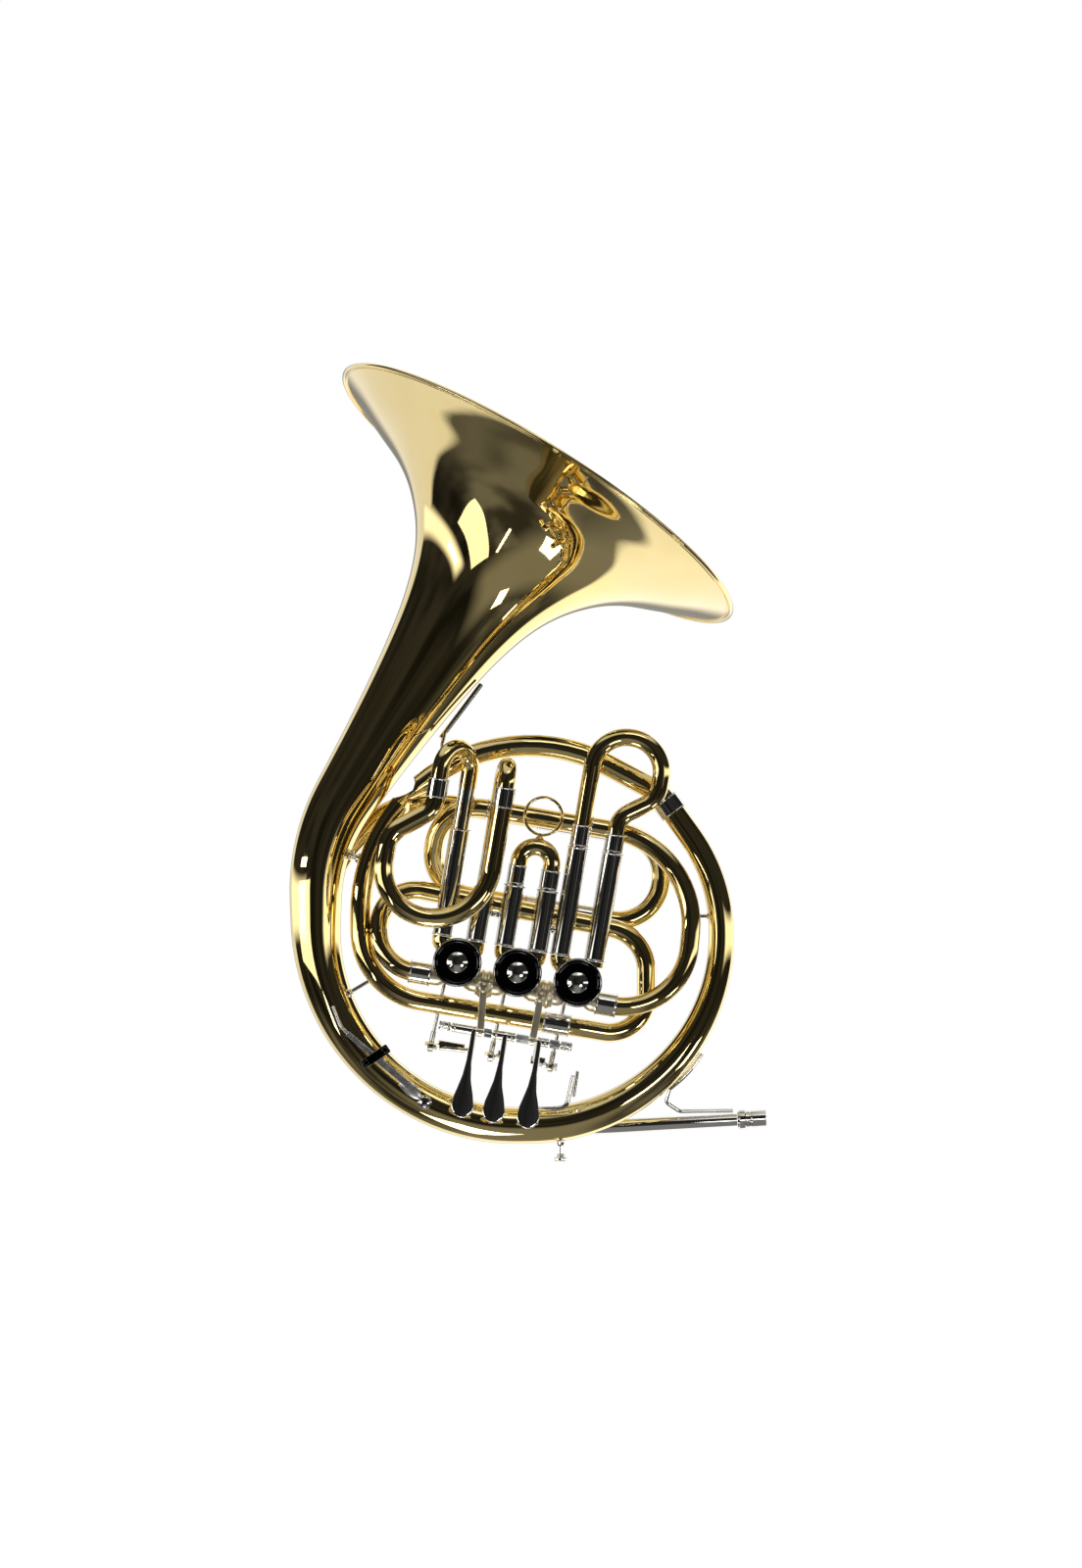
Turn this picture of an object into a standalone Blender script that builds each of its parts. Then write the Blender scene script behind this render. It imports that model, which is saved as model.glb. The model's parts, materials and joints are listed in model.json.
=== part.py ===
"""French horn in B flat with three rotary valves, in playing pose. X is right, Y is away from
the player's left hand, Z is up. The origin is the left-hand grip on the body tube."""

import math

import bpy
import bmesh
from mathutils import Matrix, Vector
from mathutils.geometry import intersect_point_line

MM = 0.001
GAP = 0.3

# Finishes: colour, roughness, metallic
BRASS = ((0.86, 0.68, 0.30, 1), 0.16, 1)
NICKEL = ((0.74, 0.73, 0.69, 1), 0.14, 1)
BLACK_NICKEL = ((0.03, 0.028, 0.028, 1), 0.12, 1)
STEEL = ((0.55, 0.56, 0.57, 1), 0.25, 1)

# Main tubing
BORE_R = 6.25
WALL = 0.8
SHEET = 0.6
ARC_STEP = math.radians(22.5)

# Bell and body loop
MOUTH = Vector((27.6, 58.0, 413.8))
MOUTH_R = 151.0
RIM_WIRE_R = 1.5
LOOP_LEFT = -117.2
LOOP_RIGHT = 147.8
BELL_CORNER_Z = 184.5
BELL_CORNER_Y = 6.0
BELL_LENGTH = 436.0
SEAM_RUN = 4.0
# Flare outline: distance from the mouth, radius
FLARE = ((1.0, 147.6), (6, 134), (14, 117.5), (27, 91), (37, 77.5), (47, 68), (61, 56.2), (77, 47.2),
         (105, 38.2), (154, 29.6), (201, 24.2), (240, 20.8), (275, 18.4), (321, 16.8),
         (430, 13.2), (527, 12.2), (631, 10.4), (665, 8.8), (830, 7.7))
BODY_END = Vector((113.9, 0, 208.0))
BODY_END_RUN = Vector((-0.584, 0, 0.812))
FERRULE_BACK = 5.0

# Valve cluster, in its own tilted frame (u along the row, y away, v up)
TILT = math.radians(9.6)
CLUSTER_AT = Vector((14.1, 0, 100.5))
VALVE_U = {3: -39.1, 2: 0.6, 1: 40.3}
VALVE_Y = -20.0
CASING_R = 14.0
CASING_DEPTH = 26.0
CASING_BORE = 12.1
ROTOR_R = 11.7
CAP_R = 15.9
CAP_DOME_R = 6.7
CAP_DEPTH = 3.7
DOME_DEPTH = 3.0
PORT_R = 6.4
PORT_BORE = 5.2
PORT_OFFSET = 11.1
PORT_V = -11.0
PORT_REACH = {3: (16.9, 19.7), 2: (19.7, 19.7), 1: (19.7, 15.0)}
KNUCKLE_TOP = 15.0

# Slides
SLEEVE_R = 6.9
LEG_R = 5.7
LEG_END_V = 20.0
SLIDE_U = {1: (26.2, 48.6), 2: (-10.5, 11.1), 3: (-51.6, -29.6)}
SLEEVE_TOP = {1: (87.0, 87.0), 2: (56.0, 56.0), 3: (86.0, 51.0)}
FRONT_Y = -41.0
REAR_Y = 9.8
MIDDLE_Y = -5.0
LOWER_Y = -12.0
UPPER_V = 101.5
MAIN_SLIDE_V = 100.5
MAIN_SLEEVE_END = 43.4
MAIN_SLEEVE_LENGTH = 44.0
MAIN_SLEEVE_R = 6.7
MAIN_LEG_R = 5.3
MAIN_LEG_LENGTH = 31.8
STEP_RUN = 2.0
A_V = 43.5
T5_V = -29.2

# Levers and linkage
AXLE_Y = -26.0
AXLE_V = -42.3
AXLE_R = 1.4
BARREL_R = 3.0
BARREL_BORE = 1.95
STEM_U = {3: -21.0, 2: -0.4, 1: 22.2}
BARREL_SPAN = {3: (-35.6, -19.5), 2: (-8.4, 6.0), 1: (20.8, 28.0)}
SPRING_SPAN = {3: (-14.8, -8.9), 2: (6.5, 15.8), 1: (28.5, 36.0)}
STRAP_WIDTH = 4.6
STRAP_TOP_U = {"left": -19.6, "right": 18.2}
STRAP_FOOT_U = {"left": -16.7, "right": 17.6}
PADDLE_LENGTH = 57.5
PADDLE_R = 7.4
PADDLE_BACK = 10.0
ROD_U = -8.0
ROD_Y = 3.0
ROD_BALL_V = -57.4
BLADE_SPAN = {3: (-42.6, -25.2), 2: (-3.4, -0.6), 1: (18.6, 28.1)}
BLADE_V = -55.4
STOP_R = 6.5
STOP_REST = math.radians(225)
ROD_EYE_U = -5.6


def clear_scene():
    for obj in list(bpy.data.objects):
        bpy.data.objects.remove(obj)


def collection(name):
    made = bpy.data.collections.new(name)
    bpy.context.scene.collection.children.link(made)
    return made


clear_scene()
HORN = collection("french_horn")
CUTTERS = collection("cutters")
CUTTERS.hide_render = True


def empty(name, location, rotation=(0, 0, 0)):
    obj = bpy.data.objects.new(name, None)
    obj.location = Vector(location) * MM
    obj.rotation_euler = rotation
    HORN.objects.link(obj)
    return obj


CLUSTER = empty("valve_cluster", CLUSTER_AT, (0, TILT, 0))


def finish(name, look):
    colour, roughness, metallic = look
    made = bpy.data.materials.new(name)
    made.use_nodes = True
    shader = made.node_tree.nodes["Principled BSDF"]
    shader.inputs["Base Color"].default_value = colour
    shader.inputs["Roughness"].default_value = roughness
    shader.inputs["Metallic"].default_value = metallic
    return made


def as_node(obj, look, parent=None):
    """Puts a finished object in the horn's collection, with its own material."""
    for old in obj.users_collection:
        old.objects.unlink(obj)
    HORN.objects.link(obj)
    obj.parent = parent
    obj.data.materials.clear()
    obj.data.materials.append(finish(obj.name, look))
    return obj


def as_cutter(obj, parent=None):
    for old in obj.users_collection:
        old.objects.unlink(obj)
    CUTTERS.objects.link(obj)
    obj.parent = parent
    obj.hide_render = True
    obj.display_type = "WIRE"
    return obj


def smooth(mesh, angle=35):
    mesh.shade_smooth()
    bm = bmesh.new()
    bm.from_mesh(mesh)
    for edge in bm.edges:
        if len(edge.link_faces) == 2 and edge.calc_face_angle() > math.radians(angle):
            edge.smooth = False
    bm.to_mesh(mesh)
    bm.free()


# ---- routes ----------------------------------------------------------------------------------

def route(corners):
    """Straight runs joined by arcs. A corner is (x, y, z) or (x, y, z, bend radius)."""
    places = [Vector(corner[:3]) for corner in corners]
    points = [places[0]]
    for before, corner, after, spec in zip(places, places[1:], places[2:], corners[1:]):
        incoming = (corner - before).normalized()
        outgoing = (after - corner).normalized()
        turn = incoming.angle(outgoing)
        reach = spec[3] * math.tan(turn / 2)
        axis = incoming.cross(outgoing).normalized()
        start = corner - incoming * reach
        centre = start + axis.cross(incoming) * spec[3]
        steps = max(2, math.ceil(turn / ARC_STEP))
        for step in range(steps + 1):
            spin = Matrix.Rotation(turn * step / steps, 3, axis)
            points.append(centre + spin @ (start - centre))
    points.append(places[-1])
    return [point for point, last in zip(points, [None, *points])
            if last is None or (point - last).length > 0.05]


def distances(points):
    total = [0.0]
    for here, there in zip(points, points[1:]):
        total.append(total[-1] + (there - here).length)
    return total


def with_stations(points, stations):
    """The route with extra points at the given distances along it."""
    along = distances(points)
    extra = [s for s in stations if s < along[-1] and min(abs(s - d) for d in along) > 0.5]
    marks = sorted(along + extra)
    return [point_at(points, along, mark) for mark in marks]


def point_at(points, along, mark):
    for here, there, start, end in zip(points, points[1:], along, along[1:]):
        if start <= mark <= end:
            return here.lerp(there, (mark - start) / (end - start))
    return points[-1]


def blend(outline, mark):
    """Linear reading of an outline of (distance, radius) pairs."""
    if mark <= outline[0][0]:
        return outline[0][1]
    for (start, low), (end, high) in zip(outline, outline[1:]):
        if start <= mark <= end:
            return low + (high - low) * (mark - start) / (end - start)
    return outline[-1][1]


def swept(name, points, radii, resolution=3, caps=False):
    """A round section swept along points, in millimetres."""
    curve = bpy.data.curves.new(name, "CURVE")
    curve.dimensions = "3D"
    curve.bevel_depth = MM
    curve.bevel_resolution = resolution
    curve.use_fill_caps = caps
    spline = curve.splines.new("POLY")
    spline.points.add(len(points) - 1)
    for slot, point, radius in zip(spline.points, points, radii):
        slot.co = (*(point * MM), 1)
        slot.radius = radius
    obj = bpy.data.objects.new(name, curve)
    CUTTERS.objects.link(obj)
    return obj


def meshed(obj):
    """The curve object replaced by the same shape as a mesh, with its caps welded."""
    graph = bpy.context.evaluated_depsgraph_get()
    mesh = bpy.data.meshes.new_from_object(obj.evaluated_get(graph))
    bm = bmesh.new()
    bm.from_mesh(mesh)
    bmesh.ops.remove_doubles(bm, verts=bm.verts, dist=1e-7)
    bmesh.ops.recalc_face_normals(bm, faces=bm.faces)
    bm.to_mesh(mesh)
    bm.free()
    name = obj.name
    matrix = obj.matrix_world.copy()
    bpy.data.objects.remove(obj)
    made = bpy.data.objects.new(name, mesh)
    made.matrix_world = matrix
    CUTTERS.objects.link(made)
    return made


def rod_solid(name, corners, radius, resolution=2):
    """A solid round bar along a route, as a mesh."""
    points = route(corners)
    obj = meshed(swept(name, points, [radius] * len(points), resolution, caps=True))
    smooth(obj.data)
    return obj


def outward(obj, points):
    """Turns the faces of an open tube away from its route."""
    bm = bmesh.new()
    bm.from_mesh(obj.data)
    bm.faces.ensure_lookup_table()
    face = bm.faces[0]
    centre = face.calc_center_median()
    feet = []
    for here, there in zip(points, points[1:]):
        foot, along = intersect_point_line(centre / MM, here, there)
        feet.append(here.lerp(there, min(max(along, 0), 1)) * MM)
    nearest = min(feet, key=lambda foot: (foot - centre).length)
    if face.normal.dot(centre - nearest) < 0:
        bmesh.ops.reverse_faces(bm, faces=bm.faces)
    bm.to_mesh(obj.data)
    bm.free()


def pipe(name, corners, outline, look, wall=WALL, resolution=3, parent=None):
    """A hollow tube: outline is a radius, or pairs of (distance along the route, radius)."""
    points = route(corners)
    if not isinstance(outline, (int, float)):
        points = with_stations(points, [mark for mark, _ in outline])
        radii = [blend(outline, mark) for mark in distances(points)]
    else:
        radii = [outline] * len(points)
    obj = meshed(swept(name, points, radii, resolution))
    smooth(obj.data)
    outward(obj, points)
    shell = obj.modifiers.new("wall", "SOLIDIFY")
    shell.thickness = wall * MM
    shell.offset = -1
    shell.use_even_offset = True
    return as_node(obj, look, parent)


# ---- solids ----------------------------------------------------------------------------------

def facing(origin, direction):
    """Matrix at origin (mm) whose Z looks along direction."""
    turn = Vector(direction).to_track_quat("Z", "Y").to_matrix().to_4x4()
    return Matrix.Translation(Vector(origin) * MM) @ turn


def cylinder(name, origin, direction, radius, length, sides=24):
    """A cylinder standing on origin along direction."""
    mesh = bpy.data.meshes.new(name)
    bm = bmesh.new()
    bmesh.ops.create_cone(bm, cap_ends=True, segments=sides, radius1=radius * MM,
                          radius2=radius * MM, depth=length * MM,
                          matrix=Matrix.Translation((0, 0, length * MM / 2)))
    bm.to_mesh(mesh)
    bm.free()
    mesh.transform(facing(origin, direction))
    smooth(mesh)
    obj = bpy.data.objects.new(name, mesh)
    CUTTERS.objects.link(obj)
    return obj


def box(name, centre, size, turn=None):
    mesh = bpy.data.meshes.new(name)
    bm = bmesh.new()
    bmesh.ops.create_cube(bm, size=MM)
    bm.to_mesh(mesh)
    bm.free()
    mesh.transform(Matrix.Diagonal((*size, 1)))
    if turn:
        mesh.transform(turn)
    mesh.transform(Matrix.Translation(Vector(centre) * MM))
    obj = bpy.data.objects.new(name, mesh)
    CUTTERS.objects.link(obj)
    return obj


def turned(name, origin, direction, profile, steps=24, ring=False):
    """A profile of (radius, height) from top to bottom, turned about direction."""
    mesh = bpy.data.meshes.new(name)
    bm = bmesh.new()
    rows = [bm.verts.new((radius * MM, 0, height * MM)) for radius, height in profile]
    for upper, lower in zip(rows, rows[1:]):
        bm.edges.new((upper, lower))
    if ring:
        bm.edges.new((rows[-1], rows[0]))
    bm.to_mesh(mesh)
    bm.free()
    obj = bpy.data.objects.new(name, mesh)
    CUTTERS.objects.link(obj)
    screw = obj.modifiers.new("turn", "SCREW")
    screw.steps = steps
    screw.render_steps = steps
    screw.use_merge_vertices = True
    screw.merge_threshold = 1e-6
    graph = bpy.context.evaluated_depsgraph_get()
    solid = bpy.data.meshes.new_from_object(obj.evaluated_get(graph))
    obj.modifiers.clear()
    solid.transform(facing(origin, direction))
    obj.data = solid
    smooth(solid)
    return obj


def collar(name, start, direction, bore, radius, length, sides=16):
    """A plain ring from start along direction."""
    profile = ((radius, length), (radius, 0), (bore, 0), (bore, length))
    return turned(name, start, direction, profile, sides, ring=True)


def boolean(base, other, operation):
    cut = base.modifiers.new(other.name, "BOOLEAN")
    cut.object = other
    cut.operation = operation
    cut.solver = "EXACT"


def combine(name, base, joined=(), cut=()):
    """One solid: base with others joined to it, then others cut from it."""
    for other in joined:
        boolean(base, other, "UNION")
    for other in cut:
        boolean(base, other, "DIFFERENCE")
    graph = bpy.context.evaluated_depsgraph_get()
    mesh = bpy.data.meshes.new_from_object(base.evaluated_get(graph))
    base.modifiers.clear()
    bm = bmesh.new()
    bm.from_mesh(mesh)
    bmesh.ops.triangulate(bm, faces=bm.faces)
    bmesh.ops.remove_doubles(bm, verts=bm.verts, dist=2e-6)
    bmesh.ops.dissolve_degenerate(bm, edges=bm.edges, dist=2e-6)
    bmesh.ops.holes_fill(bm, edges=[edge for edge in bm.edges if edge.is_boundary], sides=3)
    bm.to_mesh(mesh)
    bm.free()
    base.data = mesh
    smooth(mesh)
    base.name = name
    for other in (*joined, *cut):
        bpy.data.objects.remove(other)
    return base


def moved_origin(obj, origin):
    """Puts the object's origin at origin (mm), leaving its shape in place."""
    obj.data.transform(Matrix.Translation(-Vector(origin) * MM))
    obj.location = Vector(origin) * MM
    return obj


# ---- bell and body ---------------------------------------------------------------------------

def bell_route():
    return [(*MOUTH,), (LOOP_LEFT, BELL_CORNER_Y, BELL_CORNER_Z, 120), (LOOP_LEFT, 0, 0, 132),
            (LOOP_RIGHT, 0, 0, 124), (LOOP_RIGHT, 0, 160.9, 110), (*BODY_END,)]


def bell_and_body():
    near_seam = [BELL_LENGTH - SEAM_RUN, BELL_LENGTH, BELL_LENGTH + SEAM_RUN]
    points = with_stations(route(bell_route()), [mark for mark, _ in FLARE] + near_seam)
    along = distances(points)
    split = min(range(len(along)), key=lambda i: abs(along[i] - BELL_LENGTH))
    seam = (points[split + 1] - points[split]).normalized() * GAP
    parts = (("bell", points[1:split + 1], along[1:split + 1], 8),
             ("body_branch", [points[split] + seam, *points[split + 1:]], along[split:], 4))
    for name, places, marks, resolution in parts:
        radii = [blend(FLARE, mark) for mark in marks]
        obj = meshed(swept(name, places, radii, resolution))
        smooth(obj.data, 60)
        outward(obj, places)
        shell = obj.modifiers.new("wall", "SOLIDIFY")
        shell.thickness = (SHEET if name == "bell" else WALL) * MM
        shell.offset = -1
        as_node(obj, BRASS)


def rim_wire():
    inward = (Vector((LOOP_LEFT, BELL_CORNER_Y, BELL_CORNER_Z)) - MOUTH).normalized()
    profile = [(MOUTH_R - RIM_WIRE_R + RIM_WIRE_R * math.sin(angle), RIM_WIRE_R * math.cos(angle))
               for angle in (math.tau * step / 8 for step in range(8))]
    as_node(turned("bell_rim_wire", MOUTH, -inward, profile, 36, ring=True), BRASS)


def body_ferrule():
    start = BODY_END - BODY_END_RUN * FERRULE_BACK
    as_node(collar("ferrule_body_branch", start, BODY_END_RUN, 8.1, 9.2, 11), NICKEL)


# ---- tubes -----------------------------------------------------------------------------------

def cluster_point(u, y, v):
    """A place of the valve cluster's frame in the world's."""
    return CLUSTER_AT + Vector((u * math.cos(TILT) + v * math.sin(TILT), y,
                                v * math.cos(TILT) - u * math.sin(TILT)))


def second_branch():
    """From the body's ferrule over the top and down the left side, to the ferrule under the valves."""
    start = BODY_END + BODY_END_RUN * GAP
    corners = [(*start,), (107.1, 0, 217.6, 38), (1.6, -2, 273.1, 110), (-88, -4, 183.6, 110),
               (*cluster_point(-98.3, LOWER_Y, T5_V), 47), (*cluster_point(31.2, LOWER_Y, T5_V),)]
    pipe("second_branch", corners, ((0, 7.4), (180, 7.0), (420, BORE_R)), BRASS)
    as_node(collar("ferrule_second_branch", (22.5, LOWER_Y, T5_V), (1, 0, 0), 6.6, 7.4, 17.6),
            NICKEL, CLUSTER)


def valve3_branch():
    end = VALVE_U[3] - PORT_REACH[3][0] - GAP
    corners = [(31.7, LOWER_Y, T5_V), (44, LOWER_Y, T5_V, 60), (90.9, -6, T5_V, 24),
               (79.6, MIDDLE_Y, 37.6, 28), (-93.6, MIDDLE_Y, 42.6, 24), (-93.4, VALVE_Y, PORT_V, 27),
               (end, VALVE_Y, PORT_V)]
    pipe("valve3_branch", corners, BORE_R, BRASS, parent=CLUSTER)
    as_node(collar("ferrule_valve3", (-69, VALVE_Y, PORT_V), (1, 0, 0), 7.0, 7.7, 14.2), NICKEL,
            CLUSTER)


def main_sleeve(corners):
    """Outline of a tube's last stretch, widened into a sleeve for the main slide's leg."""
    length = distances(route(corners))[-1]
    start = length - MAIN_SLEEVE_LENGTH
    return (start - STEP_RUN, BORE_R), (start, MAIN_SLEEVE_R), (length, MAIN_SLEEVE_R)


def valve1_branch():
    start = VALVE_U[1] + PORT_REACH[1][1] + GAP
    corners = [(start, VALVE_Y, PORT_V), (111.5, VALVE_Y, PORT_V, 43), (103.5, MIDDLE_Y, UPPER_V, 62),
               (-67, MIDDLE_Y, UPPER_V, 28.4), (-67, REAR_Y, A_V, 28.4),
               (MAIN_SLEEVE_END, REAR_Y, A_V)]
    outline = ((0, BORE_R), *main_sleeve(corners))
    pipe("valve1_branch", corners, outline, BRASS, wall=0.7, parent=CLUSTER)
    as_node(collar("ferrule_valve1", (54.2, VALVE_Y, PORT_V), (1, 0, 0), 7.0, 7.7, 13.6), NICKEL,
            CLUSTER)


def main_slide():
    corners = [(12, REAR_Y, A_V), (83.3, REAR_Y, A_V, 27.5), (83.3, REAR_Y, MAIN_SLIDE_V, 27.5),
               (12, REAR_Y, MAIN_SLIDE_V)]
    length = distances(route(corners))[-1]
    first = MAIN_LEG_LENGTH
    last = length - MAIN_LEG_LENGTH
    outline = ((0, MAIN_LEG_R), (first, MAIN_LEG_R), (first + 1.1, BORE_R), (last - 1.1, BORE_R),
               (last, MAIN_LEG_R), (length, MAIN_LEG_R))
    pipe("main_tuning_slide", corners, outline, BRASS, wall=SHEET, parent=CLUSTER)


def leadpipe():
    upper = cluster_point(MAIN_SLEEVE_END, REAR_Y, MAIN_SLIDE_V)
    turn_in = cluster_point(-72, REAR_Y, MAIN_SLIDE_V)
    corners = [(158.4, 18, 3.1), (76, 19, -1.2, 300), (14, 21, -3, 180), (-62, 26, 14, 110),
               (-112, 34, 84, 110), (-108, 36.5, 168, 60), (-71, 27.5, 207, 34), (*turn_in, 60),
               (*upper,)]
    outline = ((0, 4.2), (110, 4.8), (400, BORE_R), *main_sleeve(corners))
    pipe("leadpipe", corners, outline, NICKEL, wall=0.7)
    profile = ((5.5, 18.6), (5.5, 5), (6.4, 4.6), (6.4, 1.5), (5.6, 1), (5.6, 0), (3.5, 0),
               (4.1, 18.6))
    receiver = turned("mouthpiece_receiver", (158.7, 18, 3.15), (1, -0.012, 0.06), profile, 20,
                      ring=True)
    as_node(receiver, NICKEL)


# ---- valves ----------------------------------------------------------------------------------

def knuckle(name, valve, side, up, radius, extra):
    """A port that leaves the casing on a diagonal and bends up, or along the row."""
    centre = VALVE_U[valve]
    if up:
        u = SLIDE_U[valve][0 if side < 0 else 1]
        corners = [(centre, VALVE_Y, 0), (u, VALVE_Y, 10.6, 6.5), (u, VALVE_Y, KNUCKLE_TOP + extra)]
    else:
        reach = PORT_REACH[valve][0 if side < 0 else 1]
        corners = [(centre, VALVE_Y, 0), (centre + side * PORT_OFFSET, VALVE_Y, PORT_V, 3.0),
                   (centre + side * (reach + extra), VALVE_Y, PORT_V)]
    return rod_solid(name, corners, radius, 3 if radius == PORT_R else 2)


def valve(number):
    u = VALVE_U[number]
    front = VALVE_Y - CASING_DEPTH / 2
    casing = cylinder("casing", (u, front, 0), (0, 1, 0), CASING_R, CASING_DEPTH)
    ways = [(side, up) for side in (-1, 1) for up in (False, True)]
    ports = [knuckle(f"port{i}", number, *way, PORT_R, -GAP / 2) for i, way in enumerate(ways)]
    bores = [knuckle(f"bore{i}", number, *way, PORT_BORE, 1) for i, way in enumerate(ways)]
    hollow = cylinder("hollow", (u, front - 1, 0), (0, 1, 0), CASING_BORE, CASING_DEPTH + 2)
    casing = combine(f"valve_casing_{number}", casing, ports, [hollow, *bores])
    as_node(casing, NICKEL, CLUSTER)
    rotor(number)
    profile = ((0, CAP_DEPTH + DOME_DEPTH), (3.6, CAP_DEPTH + DOME_DEPTH * 0.82),
               (6.0, CAP_DEPTH + 1), (CAP_DOME_R, CAP_DEPTH), (CAP_R - 0.8, CAP_DEPTH),
               (CAP_R, CAP_DEPTH - 0.8), (CAP_R, 0), (0, 0))
    cap = turned(f"valve_cap_{number}", (u, front - GAP, 0), (0, -1, 0), profile, 28)
    as_node(cap, BLACK_NICKEL, CLUSTER)
    section = ((CASING_R - 0.3, 3.0), (CASING_R - 0.3, 0), (3.2, 0), (3.2, 3.0))
    back = VALVE_Y + CASING_DEPTH / 2 + GAP
    plate = turned(f"bearing_plate_{number}", (u, back, 0), (0, 1, 0), section, 24, ring=True)
    as_node(plate, NICKEL, CLUSTER)


def rotor(number):
    u = VALVE_U[number]
    front = VALVE_Y - CASING_DEPTH / 2 + GAP
    body = cylinder("rotor", (u, front, 0), (0, 1, 0), ROTOR_R, CASING_DEPTH - 2 * GAP)
    spindle = cylinder("spindle", (u, VALVE_Y, 0), (0, 1, 0), 2.5, 16.6, 16)
    ways = [cylinder(f"way{side}", (u - 14, VALVE_Y, 8.4 * side), (1, 0, 0), PORT_BORE, 28, 12)
            for side in (-1, 1)]
    obj = combine(f"rotor_{number}", body, [spindle], ways)
    moved_origin(obj, (u, VALVE_Y, 0))
    as_node(obj, BRASS, CLUSTER)


def stop_arm(number):
    """The arm on the rotor's end, with the pin and screw head that hold the rod's eye."""
    u = VALVE_U[number]
    pin_u = u + STOP_R * math.cos(STOP_REST)
    pin_v = STOP_R * math.sin(STOP_REST)
    hub = cylinder("hub", (u, -2.9, 0), (0, 1, 0), 3.8, 3.6, 16)
    arm = box("arm", ((u + pin_u) / 2, -1.2, pin_v / 2), (STOP_R, 2.2, 3.4),
              Matrix.Rotation(math.pi - STOP_REST, 4, "Y"))
    pad = cylinder("pad", (pin_u, -2.3, pin_v), (0, 1, 0), 2.2, 2.2, 16)
    pin = cylinder("pin", (pin_u, -1.5, pin_v), (0, 1, 0), 1.1, 7.2, 12)
    head = cylinder("head", (pin_u, 5.0, pin_v), (0, 1, 0), 3.3, 1.4, 16)
    obj = combine(f"stop_arm_{number}", hub, [arm, pad, pin, head])
    moved_origin(obj, (u, -1.2, 0))
    as_node(obj, NICKEL, CLUSTER)


def push_rod(number):
    """From the lever's ball up to the stop arm: an eye at each end."""
    u = VALVE_U[number]
    eye_u = u + ROD_EYE_U
    ball_u = u + ROD_U
    eye_v = STOP_R * math.sin(STOP_REST)
    shank = rod_solid("shank", [(ball_u, ROD_Y, ROD_BALL_V + 3), (eye_u, ROD_Y, eye_v - 3)], 1.4)
    upper = collar("upper", (eye_u, ROD_Y - 1.4, eye_v), (0, 1, 0), 2.5, 4.2, 2.9)
    lower = collar("lower", (ball_u - 1.8, ROD_Y, ROD_BALL_V), (1, 0, 0), 2.1, 3.9, 3.6)
    obj = combine(f"push_rod_{number}", shank, [upper, lower])
    moved_origin(obj, (ball_u, ROD_Y, ROD_BALL_V))
    as_node(obj, NICKEL, CLUSTER)


# ---- levers ----------------------------------------------------------------------------------

def paddle(stem_u):
    """The touch piece: a stem that widens on its left into a rounded teardrop."""
    curve = bpy.data.curves.new("paddle", "CURVE")
    curve.dimensions = "2D"
    curve.fill_mode = "BOTH"
    curve.extrude = 0.9 * MM
    tip = -PADDLE_LENGTH
    round_v = tip + PADDLE_R
    left = [(-1.6, 0), (-1.7, -16), (-3.2, -30), (-6.6, -42)]
    bulb = [(PADDLE_R * math.cos(angle), round_v + PADDLE_R * math.sin(angle))
            for angle in (math.radians(190 + 170 * step / 8) for step in range(9))]
    right = [(5.4, -41), (3.0, -33), (1.8, -22), (1.6, 0)]
    outline = left + bulb + right
    spline = curve.splines.new("POLY")
    spline.points.add(len(outline) - 1)
    for slot, (x, v) in zip(spline.points, outline):
        slot.co = (x * MM, v * MM, 0, 1)
    spline.use_cyclic_u = True
    obj = bpy.data.objects.new("paddle", curve)
    CUTTERS.objects.link(obj)
    obj = meshed(obj)
    lean = Matrix.Rotation(math.atan2(PADDLE_BACK, PADDLE_LENGTH), 4, "X")
    stand = Matrix.Rotation(math.pi / 2, 4, "X")
    sideways = Matrix.Rotation(math.radians(-1), 4, "Y")
    place = Matrix.Translation(Vector((stem_u, AXLE_Y - BARREL_R + 0.4, AXLE_V)) * MM)
    obj.data.transform(place @ sideways @ lean.inverted() @ stand)
    return obj


def lever(number):
    stem = STEM_U[number]
    start, end = BARREL_SPAN[number]
    ball = VALVE_U[number] + ROD_U
    side = 1 if stem > ball else -1
    barrel = cylinder("barrel", (start, AXLE_Y, AXLE_V), (1, 0, 0), BARREL_R, end - start, 16)
    bore = cylinder("bore", (start - 1, AXLE_Y, AXLE_V), (1, 0, 0), BARREL_BORE, end - start + 2, 16)
    arm_v = ROD_BALL_V + 1.5
    arm_u = stem + (0.4 if side > 0 else -1.0)
    elbow_u = ball + side * 4.4
    arm = rod_solid("arm", [(arm_u, AXLE_Y + 2.4, AXLE_V - 0.4), (arm_u, ROD_Y - 1, arm_v, 3),
                            (elbow_u, ROD_Y, ROD_BALL_V)], 1.7)
    stud = cylinder("stud", (elbow_u + side * 1.2, ROD_Y, ROD_BALL_V), (-side, 0, 0), 1.5, 9.4, 12)
    shoulder = cylinder("shoulder", (elbow_u + side * 1.2, ROD_Y, ROD_BALL_V), (-side, 0, 0), 2.4,
                        2.6, 12)
    nut = cylinder("nut", (ball - side * 2.2, ROD_Y, ROD_BALL_V), (-side, 0, 0), 2.8, 1.8, 6)
    low, high = BLADE_SPAN[number]
    blade = box("blade", ((low + high) / 2, ROD_Y - 0.2, BLADE_V), (high - low, 2.6, 5.6))
    touch = paddle(stem)
    obj = combine(f"lever_{number}", barrel, [arm, blade, stud, shoulder, nut, touch], [bore])
    moved_origin(obj, (stem, AXLE_Y, AXLE_V))
    as_node(obj, NICKEL, CLUSTER)


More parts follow.
